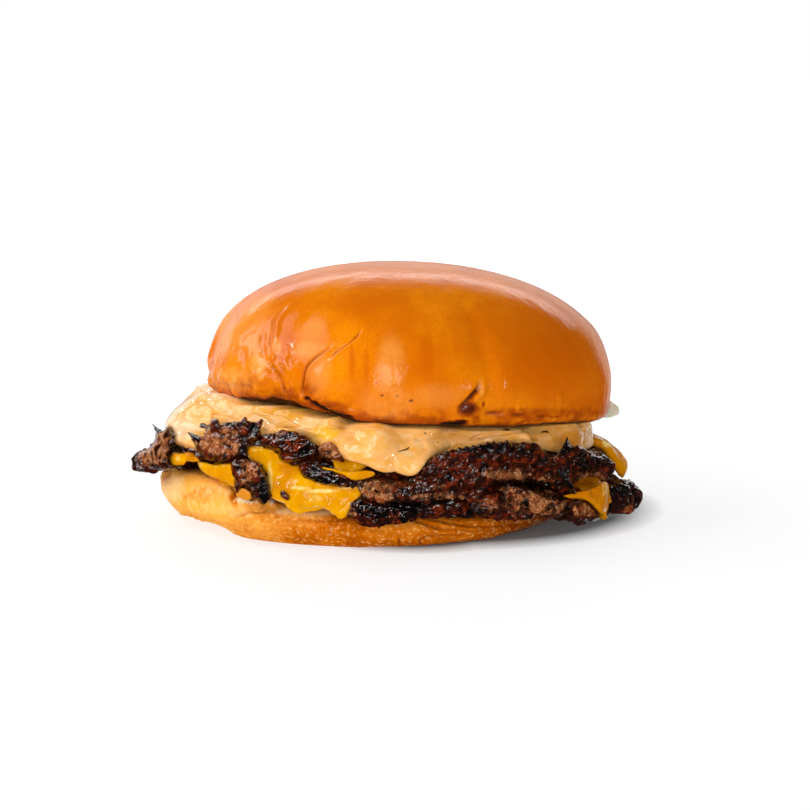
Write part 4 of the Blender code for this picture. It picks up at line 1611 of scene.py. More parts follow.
@dataclass(frozen=True)
class BeefShape:
    """The fine shape of smashed beef and where it is burnt or torn open."""

    # Charred places; the blot at (528, 484) paints the shadow in the gap between the patties black.
    burnt: tuple[Blot, ...] = blots(
        (254, 431, 5, 10, 1.2), (243, 451, 7, 7, 0.8), (264, 490, 6, 13, 1.4), (325, 481, 26, 5, 1.3),
        (305, 452, 8, 7, 0.8), (480, 449, 60, 6, 0.9), (590, 462, 22, 14, 0.8), (566, 446, 8, 10, 1.2),
        (560, 478, 10, 10, 0.7), (405, 506, 22, 8, 1.2), (472, 510, 14, 8, 0.8), (440, 501, 22, 5, 0.9),
        (528, 484, 34, 5, 1.2), (620, 490, 22, 18, 0.8), (372, 512, 22, 8, 0.9), (133, 460, 3, 6, 0.7),
        (398, 474, 30, 4, 0.5), (567, 508, 5, 10, 0.9), (526, 507, 5, 9, 1.1),
    )
    torn: tuple[Blot, ...] = blots(
        (222, 447, 20, 10, 0.8), (205, 440, 12, 10, 0.65), (228, 434, 14, 8, 0.55), (249, 470, 9, 12, 0.75),
        (384, 494, 12, 9, 1.0), (440, 497, 34, 4, 0.6), (505, 474, 26, 6, 0.75), (548, 479, 14, 5, 0.45),
        (592, 478, 16, 6, 0.75), (487, 505, 16, 8, 0.55), (372, 490, 12, 8, 1.0), (510, 488, 14, 6, 0.7),
        (330, 450, 15, 11, 0.8), (165, 440, 12, 14, 0.8), (245, 478, 8, 14, 0.6), (535, 503, 34, 14, 0.95),
        (583, 509, 15, 9, 0.65), (630, 510, 12, 6, 0.5), (150, 452, 20, 16, 0.75), (430, 487, 30, 6, 0.35),
        (352, 512, 8, 6, 0.5),
    )

    def relief(self, points: Array, seed: int) -> Relief:
        """The fine shape at each point.

        Args:
            points: where to read it.
            seed: picks its noise.

        Returns:
            The rise of the surface, and the masks for char, torn meat, painted shade in the pits, and grains.
        """
        places = VIEW.places(points)
        front = front_of(points)
        bent = bent_by(points, 0.9, 3.2, seed + 20)
        lumps = swell(points, 8.0, seed, 2)
        nubs, grains = pebbles(bent, 2.0, seed, 0.85), pebbles(bent, 1.0, seed + 3, 0.85)
        cracks = smooth_step(1.0 - np.abs(swell(points, 6.0, seed + 7, 3)), 0.88, 1.0)
        fine = swell(points, 0.9, seed + 9, 2)
        chunks = pebbles(bent * np.array([0.8, 1.0, 1.1]), 3.8, seed + 13, 0.8)
        torn_up = 1.0 - np.abs(swell(bent, 2.6, seed + 17, 3))
        rise = 0.40 * lumps + 0.80 * (chunks - 0.5) + 0.34 * (nubs - 0.5) + 0.14 * (grains - 0.5)
        rise = rise + 0.50 * (torn_up - 0.7) - 0.45 * cracks + 0.10 * fine
        # Painted shade in the hollows between the lumps and in the cracks.
        pit = np.clip(1.25 - 0.75 * chunks - 0.45 * nubs - 0.35 * grains + 0.35 * cracks, 0.0, 1.0)
        behind = smooth_step(swell(points, 13.0, seed + 4, 2), -0.1, 0.6)
        char = 0.10 + 0.45 * behind * (1.0 - front)
        char = char + 0.55 * smooth_step(swell(points, 5.0, seed + 15, 3), 0.12, 0.55)
        char = np.maximum(char, front * blotted(places, self.burnt))
        torn = np.maximum(0.65 * (1.0 - behind) * (1.0 - front), front * blotted(places, self.torn))
        char = char * (1.0 - 0.6 * np.clip(torn, 0.0, 1.0))
        return Relief(rise, {"char": char, "meat": torn, "pit": pit, "grain": 0.35 + 0.65 * np.clip(lumps, 0.0, 1.0)})

    def flake(self, points: Array, seed: int) -> Relief:
        """The finer, fibrous shape of a thin torn flake at each point."""
        found = self.relief(points, seed)
        bent = bent_by(points, 0.8, 4.0, seed + 40)
        drawn = bent @ np.array([[0.30, 0.0, -0.55], [0.0, 1.0, 0.0], [0.25, 0.0, 1.0]])
        strands = 1.0 - np.abs(swell(drawn, 2.4, seed + 50, 3))
        # Painted shade between the fibres.
        pit = np.clip(found.masks["pit"] * 0.5 + 1.6 * (0.72 - strands), 0.0, 1.0)
        rise = 0.32 * found.rise + 1.2 * (strands - 0.75)
        burnt = front_of(points) * blotted(VIEW.places(points), self.burnt)
        char = np.maximum(0.35 * found.masks["char"], burnt)
        return Relief(rise, {**found.masks, "pit": pit, "char": char, "grain": 0.35 * found.masks["grain"]})


BEEF = BeefShape()


@dataclass(frozen=True)
class Layer:
    """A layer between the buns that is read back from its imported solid."""

    node: str
    seed: int
    grain: Grain
    dents: tuple[Blot, ...] = ()
    wedge: float = 0.0
    steps: int = 102
    inner: float = 38.5
    visible: float = 45.5
    edge: tuple[float, float] = (45.0, 48.5)

    def skin(self) -> Skin:
        """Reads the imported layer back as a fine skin."""
        skin = Skin.of(read_rings(self.node, 0.0, self.steps, self.inner), 0.0, self.grain, self.visible)
        dented(skin, self.dents)
        share = self.wedge * smooth_step(-skin.points[..., 0], 54.0, 66.0)
        height = skin.points[..., 2] - skin.points[..., 2].min(axis=1, keepdims=True)
        skin.points[..., 2] -= share * height
        return skin

    def build(self, finish: Finish, relief: Callable[[Array, int], Relief]) -> bpy.types.Object:
        """Makes the layer and gives it its fine shape.

        Args:
            finish: its finish.
            relief: gives the fine shape of its rim.

        Returns:
            The new piece.
        """
        skin = self.skin()
        found = relief(skin.points, self.seed)
        rim = smooth_step(radius_of(skin.points), *self.edge)
        skin.push(found.rise * rim)
        for name, values in found.masks.items():
            skin.masks[name] = values * (rim if name == "grain" else 1.0)
        return skin.piece(self.node, finish)


@dataclass(frozen=True)
class SauceLayer(Layer):
    """The sauce: its upper face is pressed out and up to the rim of the bun that lies on it."""

    bun: str = "bun_top"
    bun_axis: float = 6.0
    bun_steps: int = 84
    corner: float = 3.0
    window: int = 7
    lifted: tuple[Blot, ...] = blots((226, 402, 18, 16, 1.2))
    pressed: tuple[Blot, ...] = blots((203, 380, 17, 15, 3.8))

    def rim(self, turns: Array) -> tuple[Array, Array]:
        """Reads the bun's lower corner.

        Args:
            turns: bearings about the burger's axis.

        Returns:
            How far the corner is from the axis at each bearing, and its height.
        """
        rings = read_rings(self.bun, self.bun_axis, self.bun_steps, 1.0)
        radius = radius_of(rings, self.bun_axis)
        spot = np.argmax(radius > radius.max(axis=1, keepdims=True) - self.corner, axis=1)
        points = rings[np.arange(len(rings)), spot]
        known = turn_of(points)
        order = np.argsort(known)
        away, height = radius_of(points)[order], points[order, 2]
        return (np.interp(turns, known[order], values, period=2 * math.pi) for values in (away, height))

    def spread(self, values: Array) -> Array:
        """Evens values out over their neighbours in the skin's rows."""
        rows = np.arange(-2 * self.window, 2 * self.window + 1)
        shares = np.exp(-((rows / self.window) ** 2))
        return sum(share * np.roll(values, row, axis=0) for row, share in zip(rows, shares)) / shares.sum()

    def skin(self) -> Skin:
        """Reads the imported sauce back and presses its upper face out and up."""
        skin = super().skin()
        x, y, z = (skin.points[..., axis] for axis in range(3))
        radius = np.hypot(x, y)
        outer = np.argmax(radius, axis=1)[:, None]
        edge, lip = (self.spread(np.take_along_axis(values, outer, axis=1)) for values in (radius, z))
        away, height = self.rim(turn_of(skin.points[:, 0]))
        upper = smooth_step(z - lip, -0.6, 0.9)
        share = np.clip((edge - radius) / (edge - 40.0), 0.0, 1.0)
        squeeze = np.clip((edge - away[:, None] - 0.4) / (edge - 40.0), 0.12, 1.0)
        moved = radius + upper * (edge - radius) * (1.0 - squeeze) * (radius < edge)
        up = np.clip((z - lip) / np.maximum(height[:, None] - lip, 0.5), 0.0, 1.0)
        straight = edge + (away[:, None] - 1.0 - edge) * up - 0.9
        moved = np.where((z > lip) & (radius > 44.0), np.maximum(moved, straight), moved)
        raised = z + upper * (height[:, None] - 0.15 - z) * share**1.5
        lift = blotted(VIEW.places(skin.points), self.lifted) * smooth_step(-y, *LIFT_FADE)
        raised = raised + upper * lift * smooth_step(share, 0.1, 0.5)
        press = blotted(VIEW.places(skin.points), self.pressed) * smooth_step(-y, -25.0, -15.0)
        raised = raised - upper * press
        skin.points = np.stack([x / radius * moved, y / radius * moved, raised], axis=-1)
        return skin


def cheese_relief(points: Array, seed: int) -> Relief:
    """The fine shape of melted cheese: soft waves, darker orange tones with painted shade, and painted highlights."""
    places = VIEW.places(points)
    front = front_of(points)
    folds = 1.0 - np.abs(swell(points, 5.0, seed + 2, 2))
    rise = 0.30 * swell(points, 7.0, seed, 2) + 0.18 * swell(points, 2.4, seed + 1, 2) + 0.45 * (folds - 0.7)
    # Darker orange tones, mostly painted shade on faces away from the light and under the strip.
    amber_and_shade = front * blotted(
        places,
        blots(
            (600, 478, 50, 45, 0.75), (352, 474, 26, 5, 0.4), (283, 486, 14, 12, 0.5), (192, 455, 8, 7, 1.0),
            (222, 473, 16, 9, 0.4), (588, 492, 20, 9, 1.2), (330, 503, 12, 8, 0.3), (333, 485, 14, 4, 0.7),
            (352, 486, 12, 7, 0.7), (292, 468, 12, 9, 0.7),
        ),
    )
    # Painted highlights: the pale glare and glints on the cheese.
    pale = front * blotted(
        places,
        blots(
            (270, 478, 3, 20, 0.7), (300, 488, 12, 2.5, 0.8), (322, 491, 18, 2.5, 0.9), (346, 488, 14, 2.5, 0.6),
            (316, 499, 8, 5, 0.6), (609, 440, 9, 9, 1.0), (605, 489, 4, 9, 0.6), (254, 450, 5, 3, 0.5),
            (200, 464, 3, 5, 0.6), (178, 459, 6, 3, 0.5),
        ),
    )
    return Relief(rise, {"amber_and_shade": amber_and_shade, "pale": pale})


def sauce_relief(points: Array, seed: int) -> Relief:
    """The fine shape of thick sauce: slow waves, small lumps, and places of herbs, greasy tones, painted shade and
    painted highlights.
    """
    places = VIEW.places(points)
    front = front_of(points)
    lumps = pebbles(points * np.array([0.6, 0.6, 1.2]), 4.0, seed, 0.7)
    runs = swell(points * np.array([0.45, 0.45, 1.3]), 4.0, seed + 2, 2)
    rise = 0.32 * swell(points, 9.0, seed, 2) + 0.13 * swell(points, 3.0, seed + 1, 1)
    rise = rise + 0.20 * (lumps - 0.4) + 0.20 * runs
    herb = blotted(
        places,
        blots(
            (300, 409, 20, 4, 0.8), (335, 428, 9, 3, 0.4), (530, 430, 20, 5, 0.6), (395, 427, 16, 3, 0.35),
            (245, 404, 8, 2, 0.3),
        ),
    )
    shade = blotted(places, blots((452, 428.5, 15, 3.6, 1.0)))
    # Darker greasy sauce; the blots at (450, 434) and (548, 430) paint the shade under the bun's rim.
    grease = blotted(
        places,
        blots(
            (572, 438, 17, 10, 0.9), (598, 436, 7, 12, 0.5), (292, 413, 32, 6, 0.6), (450, 434, 26, 6, 0.5),
            (548, 430, 24, 7, 0.6), (244, 494, 12, 9, 1.0),
        ),
    )
    gold = blotted(places, blots((326, 432, 16, 8, 1.0), (280, 414, 26, 7, 0.7), (205, 436, 20, 8, 0.4)))
    # Paler sauce; the blots at (215, 394) and (590, 440) paint highlights on a crest and an edge.
    white = blotted(places, blots((180, 428, 16, 14, 0.7), (215, 394, 16, 5, 0.5), (590, 440, 5, 14, 0.7)))
    masks = {"herb": herb, "shade": shade, "grease": grease, "white": white, "gold": gold}
    return Relief(rise, {name: front * values for name, values in masks.items()})


@dataclass(frozen=True)
class TornBeef:
    """The flakes, curls and charred strips of beef that stand out from the patties."""

    patches: tuple[Patch, ...] = (
        Patch(
            "beef_flake_left",
            (
                (188, 432.3), (193, 433.2), (192, 436), (196, 435), (200, 436), (205, 434), (207.5, 429),
                (210, 421.5), (213.7, 418), (218.7, 419.5), (221, 424.5), (225, 422.5), (232.5, 421.5), (240, 420.8),
                (243.7, 417.3), (246, 417), (249, 421), (256, 422), (261, 419), (263.3, 420.5), (261, 427.5),
                (260.5, 435), (256, 441), (251, 446), (247.5, 451), (246, 456), (241, 456.5), (235, 457.5),
                (231, 459), (227.5, 461), (219, 462.5), (211, 461), (205, 459), (200, 454), (196, 449.5),
                (193.5, 444), (192, 439.5),
            ),
            ((190, 436, 60.2), (205, 440, 60.6), (225, 440, 60.0), (245, 435, 59.0), (260, 428, 57.0)),
            2.6, 3.6, 0.7, 31,
        ),
        Patch(
            "beef_knob_middle",
            (
                (261.7, 435), (270, 433.3), (276.7, 434.5), (281.7, 431.7), (290, 430.8), (296.7, 432.5),
                (303.3, 435), (308.3, 438.3), (314.2, 442), (315.5, 450), (314, 456), (308.3, 459), (300, 462),
                (295, 466.7), (287, 463.5), (279, 459), (276.5, 453.3), (270, 450.5), (263.3, 448.5), (260, 443),
            ),
            ((268, 441, 59.5), (290, 447, 60.5), (308, 448, 60.0)),
            3.8, 7.0, 0.6, 37,
        ),
        Patch(
            "beef_pocket",
            (
                (317, 449), (322, 444.5), (328, 441.5), (334, 444), (338, 449), (342, 456), (345, 462), (337, 461),
                (327, 457), (320, 453),
            ),
            ((330, 450, 58.6),),
            1.6, 4.0, 0.5, 41,
        ),
        Patch(
            "beef_strip_charred",
            (
                (298.3, 470), (299.2, 463.5), (305, 459.2), (311.7, 461.5), (320, 465), (327, 469.5), (337, 470.8),
                (347, 475), (353.3, 480), (356.5, 485.5), (351.7, 488), (340, 487.5), (330, 486), (320, 483.8),
                (311.7, 480.5), (303.3, 478),
            ),
            ((302, 468, 59.4), (320, 474, 59.8), (350, 484, 59.2)),
            3.2, 5.0, 0.6, 43,
        ),
        Patch(
            "beef_curl",
            (
                (231, 461), (235, 458.3), (243.3, 457.5), (248.3, 460), (258.3, 461.7), (262, 466.7), (265.5, 473.3),
                (267.3, 483), (270, 489), (271.7, 496.7), (268.3, 502), (262, 504), (257, 500), (253, 495.5),
                (249, 489), (244, 486), (240, 489.5), (236.7, 494), (234, 488), (234.5, 480), (231.5, 476),
                (229.8, 468),
            ),
            ((236, 470, 60.0), (250, 475, 61.2), (262, 490, 60.4)),
            3.6, 4.5, 0.6, 47,
        ),
        Patch(
            "beef_end_left",
            (
                (131, 458.8), (137.5, 452), (147.5, 448), (152, 443), (155, 438), (155.8, 432.5), (158.7, 430.6),
                (163, 431), (167.5, 428), (172.5, 433), (172.5, 437.5), (169, 443), (170, 448), (169, 455),
                (172, 463), (180, 466), (186, 466), (179, 469.5), (169, 471.3), (159, 470), (149, 469.7), (141, 472),
                (135, 470), (132.5, 464),
            ),
            ((140, 460, 66.0), (152, 455, 64.0), (166, 440, 62.5), (175, 467, 61.5)),
            6.0, 5.0, 0.5, 53,
        ),
        Patch(
            "beef_fleck_low",
            (
                (279.5, 492), (281.5, 490.6), (285, 491), (287.5, 493.5), (289.5, 497), (289, 500.5), (286, 501),
                (283, 499), (280.5, 496.5),
            ),
            ((284, 495.5, 60.0),),
            2.4, 2.5, 0.5, 79,
        ),
        Patch(
            "beef_front_low",
            (
                (344, 512), (348, 505), (352, 500), (358, 497), (366, 500), (375, 503), (386, 505), (400, 507),
                (412, 509), (416, 514), (409, 520), (401, 518), (392, 514), (384, 516), (378, 518), (369, 521.5),
                (360, 523), (352, 520), (346, 517),
            ),
            ((355, 510, 59.2), (380, 510, 58.8), (408, 514, 58.6)),
            3.0, 5.0, 0.7, 59,
        ),
        Patch(
            "beef_meat_middle",
            (
                (466, 497), (474, 494), (484, 495), (494, 492), (503, 494), (508, 500), (507, 508), (503, 514),
                (496, 517.5), (488, 516), (480, 517), (472, 513), (468, 507),
            ),
            ((487, 505, 60.6),),
            3.4, 6.0, 0.7, 61,
        ),
        Patch(
            "beef_meat_right",
            (
                (499, 489), (507, 485.5), (517, 486), (526, 489), (536, 493), (545, 498), (555, 499), (563, 502),
                (566.5, 508), (563, 515), (556, 518.5), (546, 517), (538, 515), (530, 511), (524, 505), (514, 500),
                (505, 497),
            ),
            ((515, 494, 60.6), (545, 507, 61.4)),
            3.6, 6.0, 0.7, 67,
        ),
        Patch(
            "beef_meat_end",
            (
                (572, 505), (578, 500), (586, 502), (592, 506), (598, 512), (600, 518), (594, 521), (584, 521),
                (576, 518.5), (572, 512),
            ),
            ((585, 511, 61.5),),
            3.0, 5.0, 0.7, 71,
        ),
        Patch(
            "beef_ridge_right",
            (
                (420, 474), (423, 468), (427, 466), (428.5, 461), (432, 460), (433, 456), (437, 456), (440, 453),
                (443.5, 453.5), (445, 450), (449, 451), (452, 448.5), (456, 449.5), (459, 447), (463, 448),
                (466, 445.5), (470, 447), (473, 444.5), (477, 446), (480, 443.5), (484, 444.5), (488, 441.5),
                (491, 443), (494, 440.5), (497, 443), (501, 441), (504, 442.5), (507, 439.5), (510, 443), (514, 446),
                (518, 445), (521, 442), (525, 441.5), (530, 443), (535, 442.5), (539, 444.5), (542, 449), (546, 453),
                (549, 456.5), (553, 457), (557, 454), (560, 450), (562.5, 445), (564.5, 441), (567, 436.5),
                (569, 440), (571, 444.5), (574, 446), (578, 445), (583, 447), (587, 450), (592, 451.5), (596, 455),
                (601, 455.5), (605, 458), (609, 462), (611, 469), (606, 476), (596, 474), (586, 472), (574, 470),
                (562, 469), (550, 470), (538, 467), (524, 464), (508, 462), (494, 462), (480, 465), (466, 469),
                (452, 474), (438, 482), (426, 486),
            ),
            (
                (430, 464, 58.6), (450, 453, 58.8), (480, 446, 58.8), (500, 443, 58.8), (530, 445, 58.9),
                (548, 458, 58.2), (567, 444, 58.8), (585, 450, 59.4), (606, 462, 59.8), (430, 482, 57.4),
                (470, 466, 57.6), (510, 461, 57.2), (545, 468, 57.4), (580, 470, 58.6), (605, 474, 58.6),
            ),
            2.4, 5.0, 0.35, 73,
        ),
    )

    spikes: tuple[Strand, ...] = (
        Strand(((162, 435, 62), (157.5, 430.5, 62), (152, 423.3, 62)), 1.5, 0.6, 3, Ending.SPIKE),
        Strand(((200, 441, 60.5), (194, 436, 60.5), (187.5, 432.6, 60.5)), 1.3, 0.6, 4, Ending.SPIKE),
        Strand(((557, 468, 59), (564, 478, 60.2), (569, 486, 60.6), (574.5, 494.5, 60.4)), 1.7, 0.8, 6),
        Strand(((405, 512, 58.5), (404, 518, 58.4), (408, 521.5, 58.4)), 1.8, 0.7, 9),
    )

    def build(self, finish: Finish) -> list[bpy.types.Object]:
        """Makes the flakes, and the spikes and sticks as one more piece.

        Args:
            finish: the seared beef.

        Returns:
            The flakes.
        """
        made = [patch.piece(finish, BEEF.flake) for patch in self.patches]
        char = {"char": 1.0, "meat": 0.0, "pit": 0.0, "grain": 0.0}
        strands_piece("beef_spikes", self.spikes, finish, char)
        return made


@dataclass(frozen=True)
class CheeseRuns:
    """The runs of cheese that show between the torn pieces of beef."""

    patches: tuple[Patch, ...] = (
        Patch(
            "cheese_flap_left",
            (
                (197, 460.5), (203.3, 461.7), (213.3, 464), (226.7, 463), (233, 465), (236, 473), (236, 481),
                (235.5, 488), (227, 482.5), (216.7, 478.8), (208.3, 475.5), (201.7, 470.5), (198, 465),
            ),
            ((203, 465, 58.0), (220, 472, 59.2), (233, 480, 59.0)),
            1.8, 4.0, 0.25, 3,
        ),
        Patch(
            "cheese_lump_left",
            (
                (169, 455), (174, 452), (181, 453), (189, 452), (196, 455), (200, 461), (193, 462), (187, 461.5),
                (184, 465), (177, 467), (171, 465), (167, 460),
            ),
            ((172, 458, 61.4), (185, 457, 60.6), (196, 458, 59.0)),
            2.6, 4.0, 0.3, 11,
        ),
        Patch(
            "cheese_run_front",
            (
                (246, 452), (249.5, 446.5), (258.3, 446), (265, 447), (272, 448), (280, 450), (288, 455), (296, 460),
                (302, 468), (310, 477), (322, 481), (338, 484), (352, 485), (361, 487), (362, 494), (357, 500),
                (349, 505.5), (343.5, 510.5), (339, 516), (332, 514), (328.3, 510.5), (320, 507.3), (308.3, 509),
                (300, 507.3), (290, 508), (284, 503), (275, 500), (269, 495), (268, 487), (266, 481.7), (267, 475),
                (262, 470), (256, 463), (249, 458.5),
            ),
            (
                (255, 452, 57.5), (262, 465, 58.2), (285, 470, 57.2), (280, 490, 59.0), (305, 500, 59.4),
                (330, 490, 57.8), (350, 495, 58.0), (338, 508, 59.0),
            ),
            2.2, 5.0, 0.35, 5, 1.15, "pale",
        ),
        Patch(
            "cheese_strip_front",
            (
                (316, 465), (324, 467), (333, 468.5), (343, 470.5), (354, 471), (366, 470.5), (374, 472),
                (374.5, 475), (368, 478), (359, 480), (351, 480), (343, 476), (333, 472), (322, 469),
            ),
            ((330, 469, 58.6), (360, 475, 58.8)),
            1.4, 3.0, 0.2, 7,
        ),
        Patch(
            "cheese_run_right",
            (
                (563, 496), (570, 493.5), (579, 491.5), (589, 489), (597, 485.5), (603, 481.5), (607.5, 483),
                (609.5, 490), (609.5, 499), (608, 507), (605, 512), (601, 514), (597, 510.5), (592, 505),
                (586, 500.5), (579, 499), (570, 498.5),
            ),
            ((570, 494, 61.2), (590, 494, 62.6), (605, 500, 63.0)),
            2.2, 5.0, 0.2, 9,
        ),
    )

    def build(self, finish: Finish) -> None:
        """Makes the runs from melted cheese."""
        for patch in self.patches:
            patch.piece(finish, cheese_relief)


@dataclass(frozen=True)
class SauceRuns:
    """Sauce that has run down over the beef, and the pepper that lies in the sauce."""

    patches: tuple[Patch, ...] = (
        Patch(
            "sauce_run_left",
            (
                (165, 428), (166.5, 420), (173, 411), (182, 403), (192, 396), (204, 392), (216, 396), (220, 408),
                (216, 424), (208, 440), (202, 452), (195, 453), (188, 450), (182, 447), (177, 446), (173, 441),
                (173, 434), (169, 430),
            ),
            (
                (167, 424, 61.0), (178, 438, 61.2), (192, 445, 60.2), (205, 440, 58.4), (178, 414, 58.2),
                (192, 414, 55.6), (205, 414, 53.2), (205, 424, 55.0), (190, 400, 53.4), (200, 397, 51.0),
                (212, 396, 48.8), (219, 404, 49.0), (220, 414, 50.6), (214, 426, 53.0),
            ),
            3.0, 8.0, 0.2, 15,
        ),
        Patch(
            "sauce_run_front",
            (
                (386, 458), (388, 465), (394, 471), (403, 475), (411, 476), (417, 474), (422, 469), (426, 464),
                (429, 460), (433, 457), (439, 454), (447, 451), (456, 447), (464, 443), (465, 438), (454, 434),
                (438, 433), (422, 435), (408, 439), (396, 445), (389, 451),
            ),
            (
                (396, 446, 55.0), (408, 441, 52.6), (420, 437, 50.8), (434, 434, 49.6), (452, 435, 48.6),
                (464, 440, 49.2), (400, 452, 56.2), (412, 450, 55.0), (424, 446, 53.6), (436, 442, 52.4),
                (448, 441, 50.8), (388, 462, 57.2), (398, 462, 57.6), (408, 461, 57.6), (418, 459, 57.4),
                (428, 456, 57.2), (436, 451, 55.4), (446, 447, 53.6), (456, 444, 51.2), (396, 471, 58.2),
                (405, 473, 59.4), (413, 474, 60.2), (420, 469, 60.2), (426, 462, 59.4),
            ),
            2.8, 10.0, 0.2, 17,
        ),
        Patch(
            "sauce_drop_low",
            (
                (237, 491), (240, 488), (244, 487.5), (248, 489.5), (251.5, 493), (252, 497.5), (248, 500), (243, 499),
                (239, 498), (236, 495),
            ),
            ((240, 493, 60.0), (248, 495, 60.4)),
            2.6, 3.0, 0.5, 19,
        ),
    )
    lift: float = 0.15
    pepper: tuple[Strand, ...] = (
        Strand(((398, 452, 57.6), (402, 450.5, 57.6), (406, 449.5, 57.6), (409.5, 447, 57.4)), 0.35, 0.8, 2),
        Strand(((503, 430, 55.0), (506.5, 430.5, 55.0), (510, 430, 55.0)), 0.9, 0.6, 3),
        Strand(((424.5, 433, 54.6), (426, 433.2, 54.6)), 0.45, 0.8, 4),
        Strand(((437, 442, 56), (438.4, 442.3, 56)), 0.40, 0.8, 5),
        Strand(((541, 432.5, 55.6), (545, 431.5, 55.6), (549, 432.5, 55.6)), 0.5, 0.6, 6),
    )

    def build(self, coating: bpy.types.Object, sauce: Finish, pepper: Finish) -> None:
        """Makes the runs, and the pepper that rests on them and on the coating."""
        runs = [patch.piece(sauce, sauce_relief) for patch in self.patches]
        graph = bpy.context.evaluated_depsgraph_get()
        trees = [BVHTree.FromObject(piece, graph) for piece in (coating, *runs)]
        resting = tuple(replace(strand, path=VIEW.laid(strand.path, trees, self.lift)) for strand in self.pepper)
        strands_piece("sauce_herbs", resting, pepper, {})


@dataclass(frozen=True)
class OnionSliver:
    """The sliver of onion that sticks out at the right."""

    node: str = "onion_sliver"
    seed: int = 5
    taller: float = 1.9

    def build(self, finish: Finish) -> bpy.types.Object:
        """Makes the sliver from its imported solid.

        Args:
            finish: the raw onion.

        Returns:
            The new piece.
        """
        rough = welded(self.node)
        mesh = bpy.data.meshes.new("onion_rough")
        rough.to_mesh(mesh)
        rough.free()
        host = placed("onion_host", mesh)
        modifier = host.modifiers.new("smooth", "SUBSURF")
        modifier.levels = modifier.render_levels = 3
        shown = bpy.data.meshes.new_from_object(host.evaluated_get(bpy.context.evaluated_depsgraph_get()))
        bpy.data.objects.remove(host)
        shown.calc_loop_triangles()
        points = np.array([vert.co for vert in shown.vertices]) / MM
        normals = np.array([vert.normal for vert in shown.vertices])
        faces = np.array([tuple(face.vertices) for face in shown.loop_triangles])
        veins = swell(points * np.array([0.25, 1.0, 1.0]), 0.9, self.seed, 2)
        points = points + normals * (0.10 * veins + 0.25 * swell(points, 2.2, self.seed + 1, 2))[:, None]
        base = points[:, 2].min()
        points[:, 2] = base + (points[:, 2] - base) * self.taller
        return mesh_piece(self.node, points, faces, finish, {}, self.node)


class Light(NamedTuple):
    """A soft box aimed at the burger.

    Its turn is its bearing from the front towards the right, and its height the angle over the table.
    """

    name: str
    turn: float
    height: float
    away: float
    wide: float
    tall: float
    power: float
    shines: bool


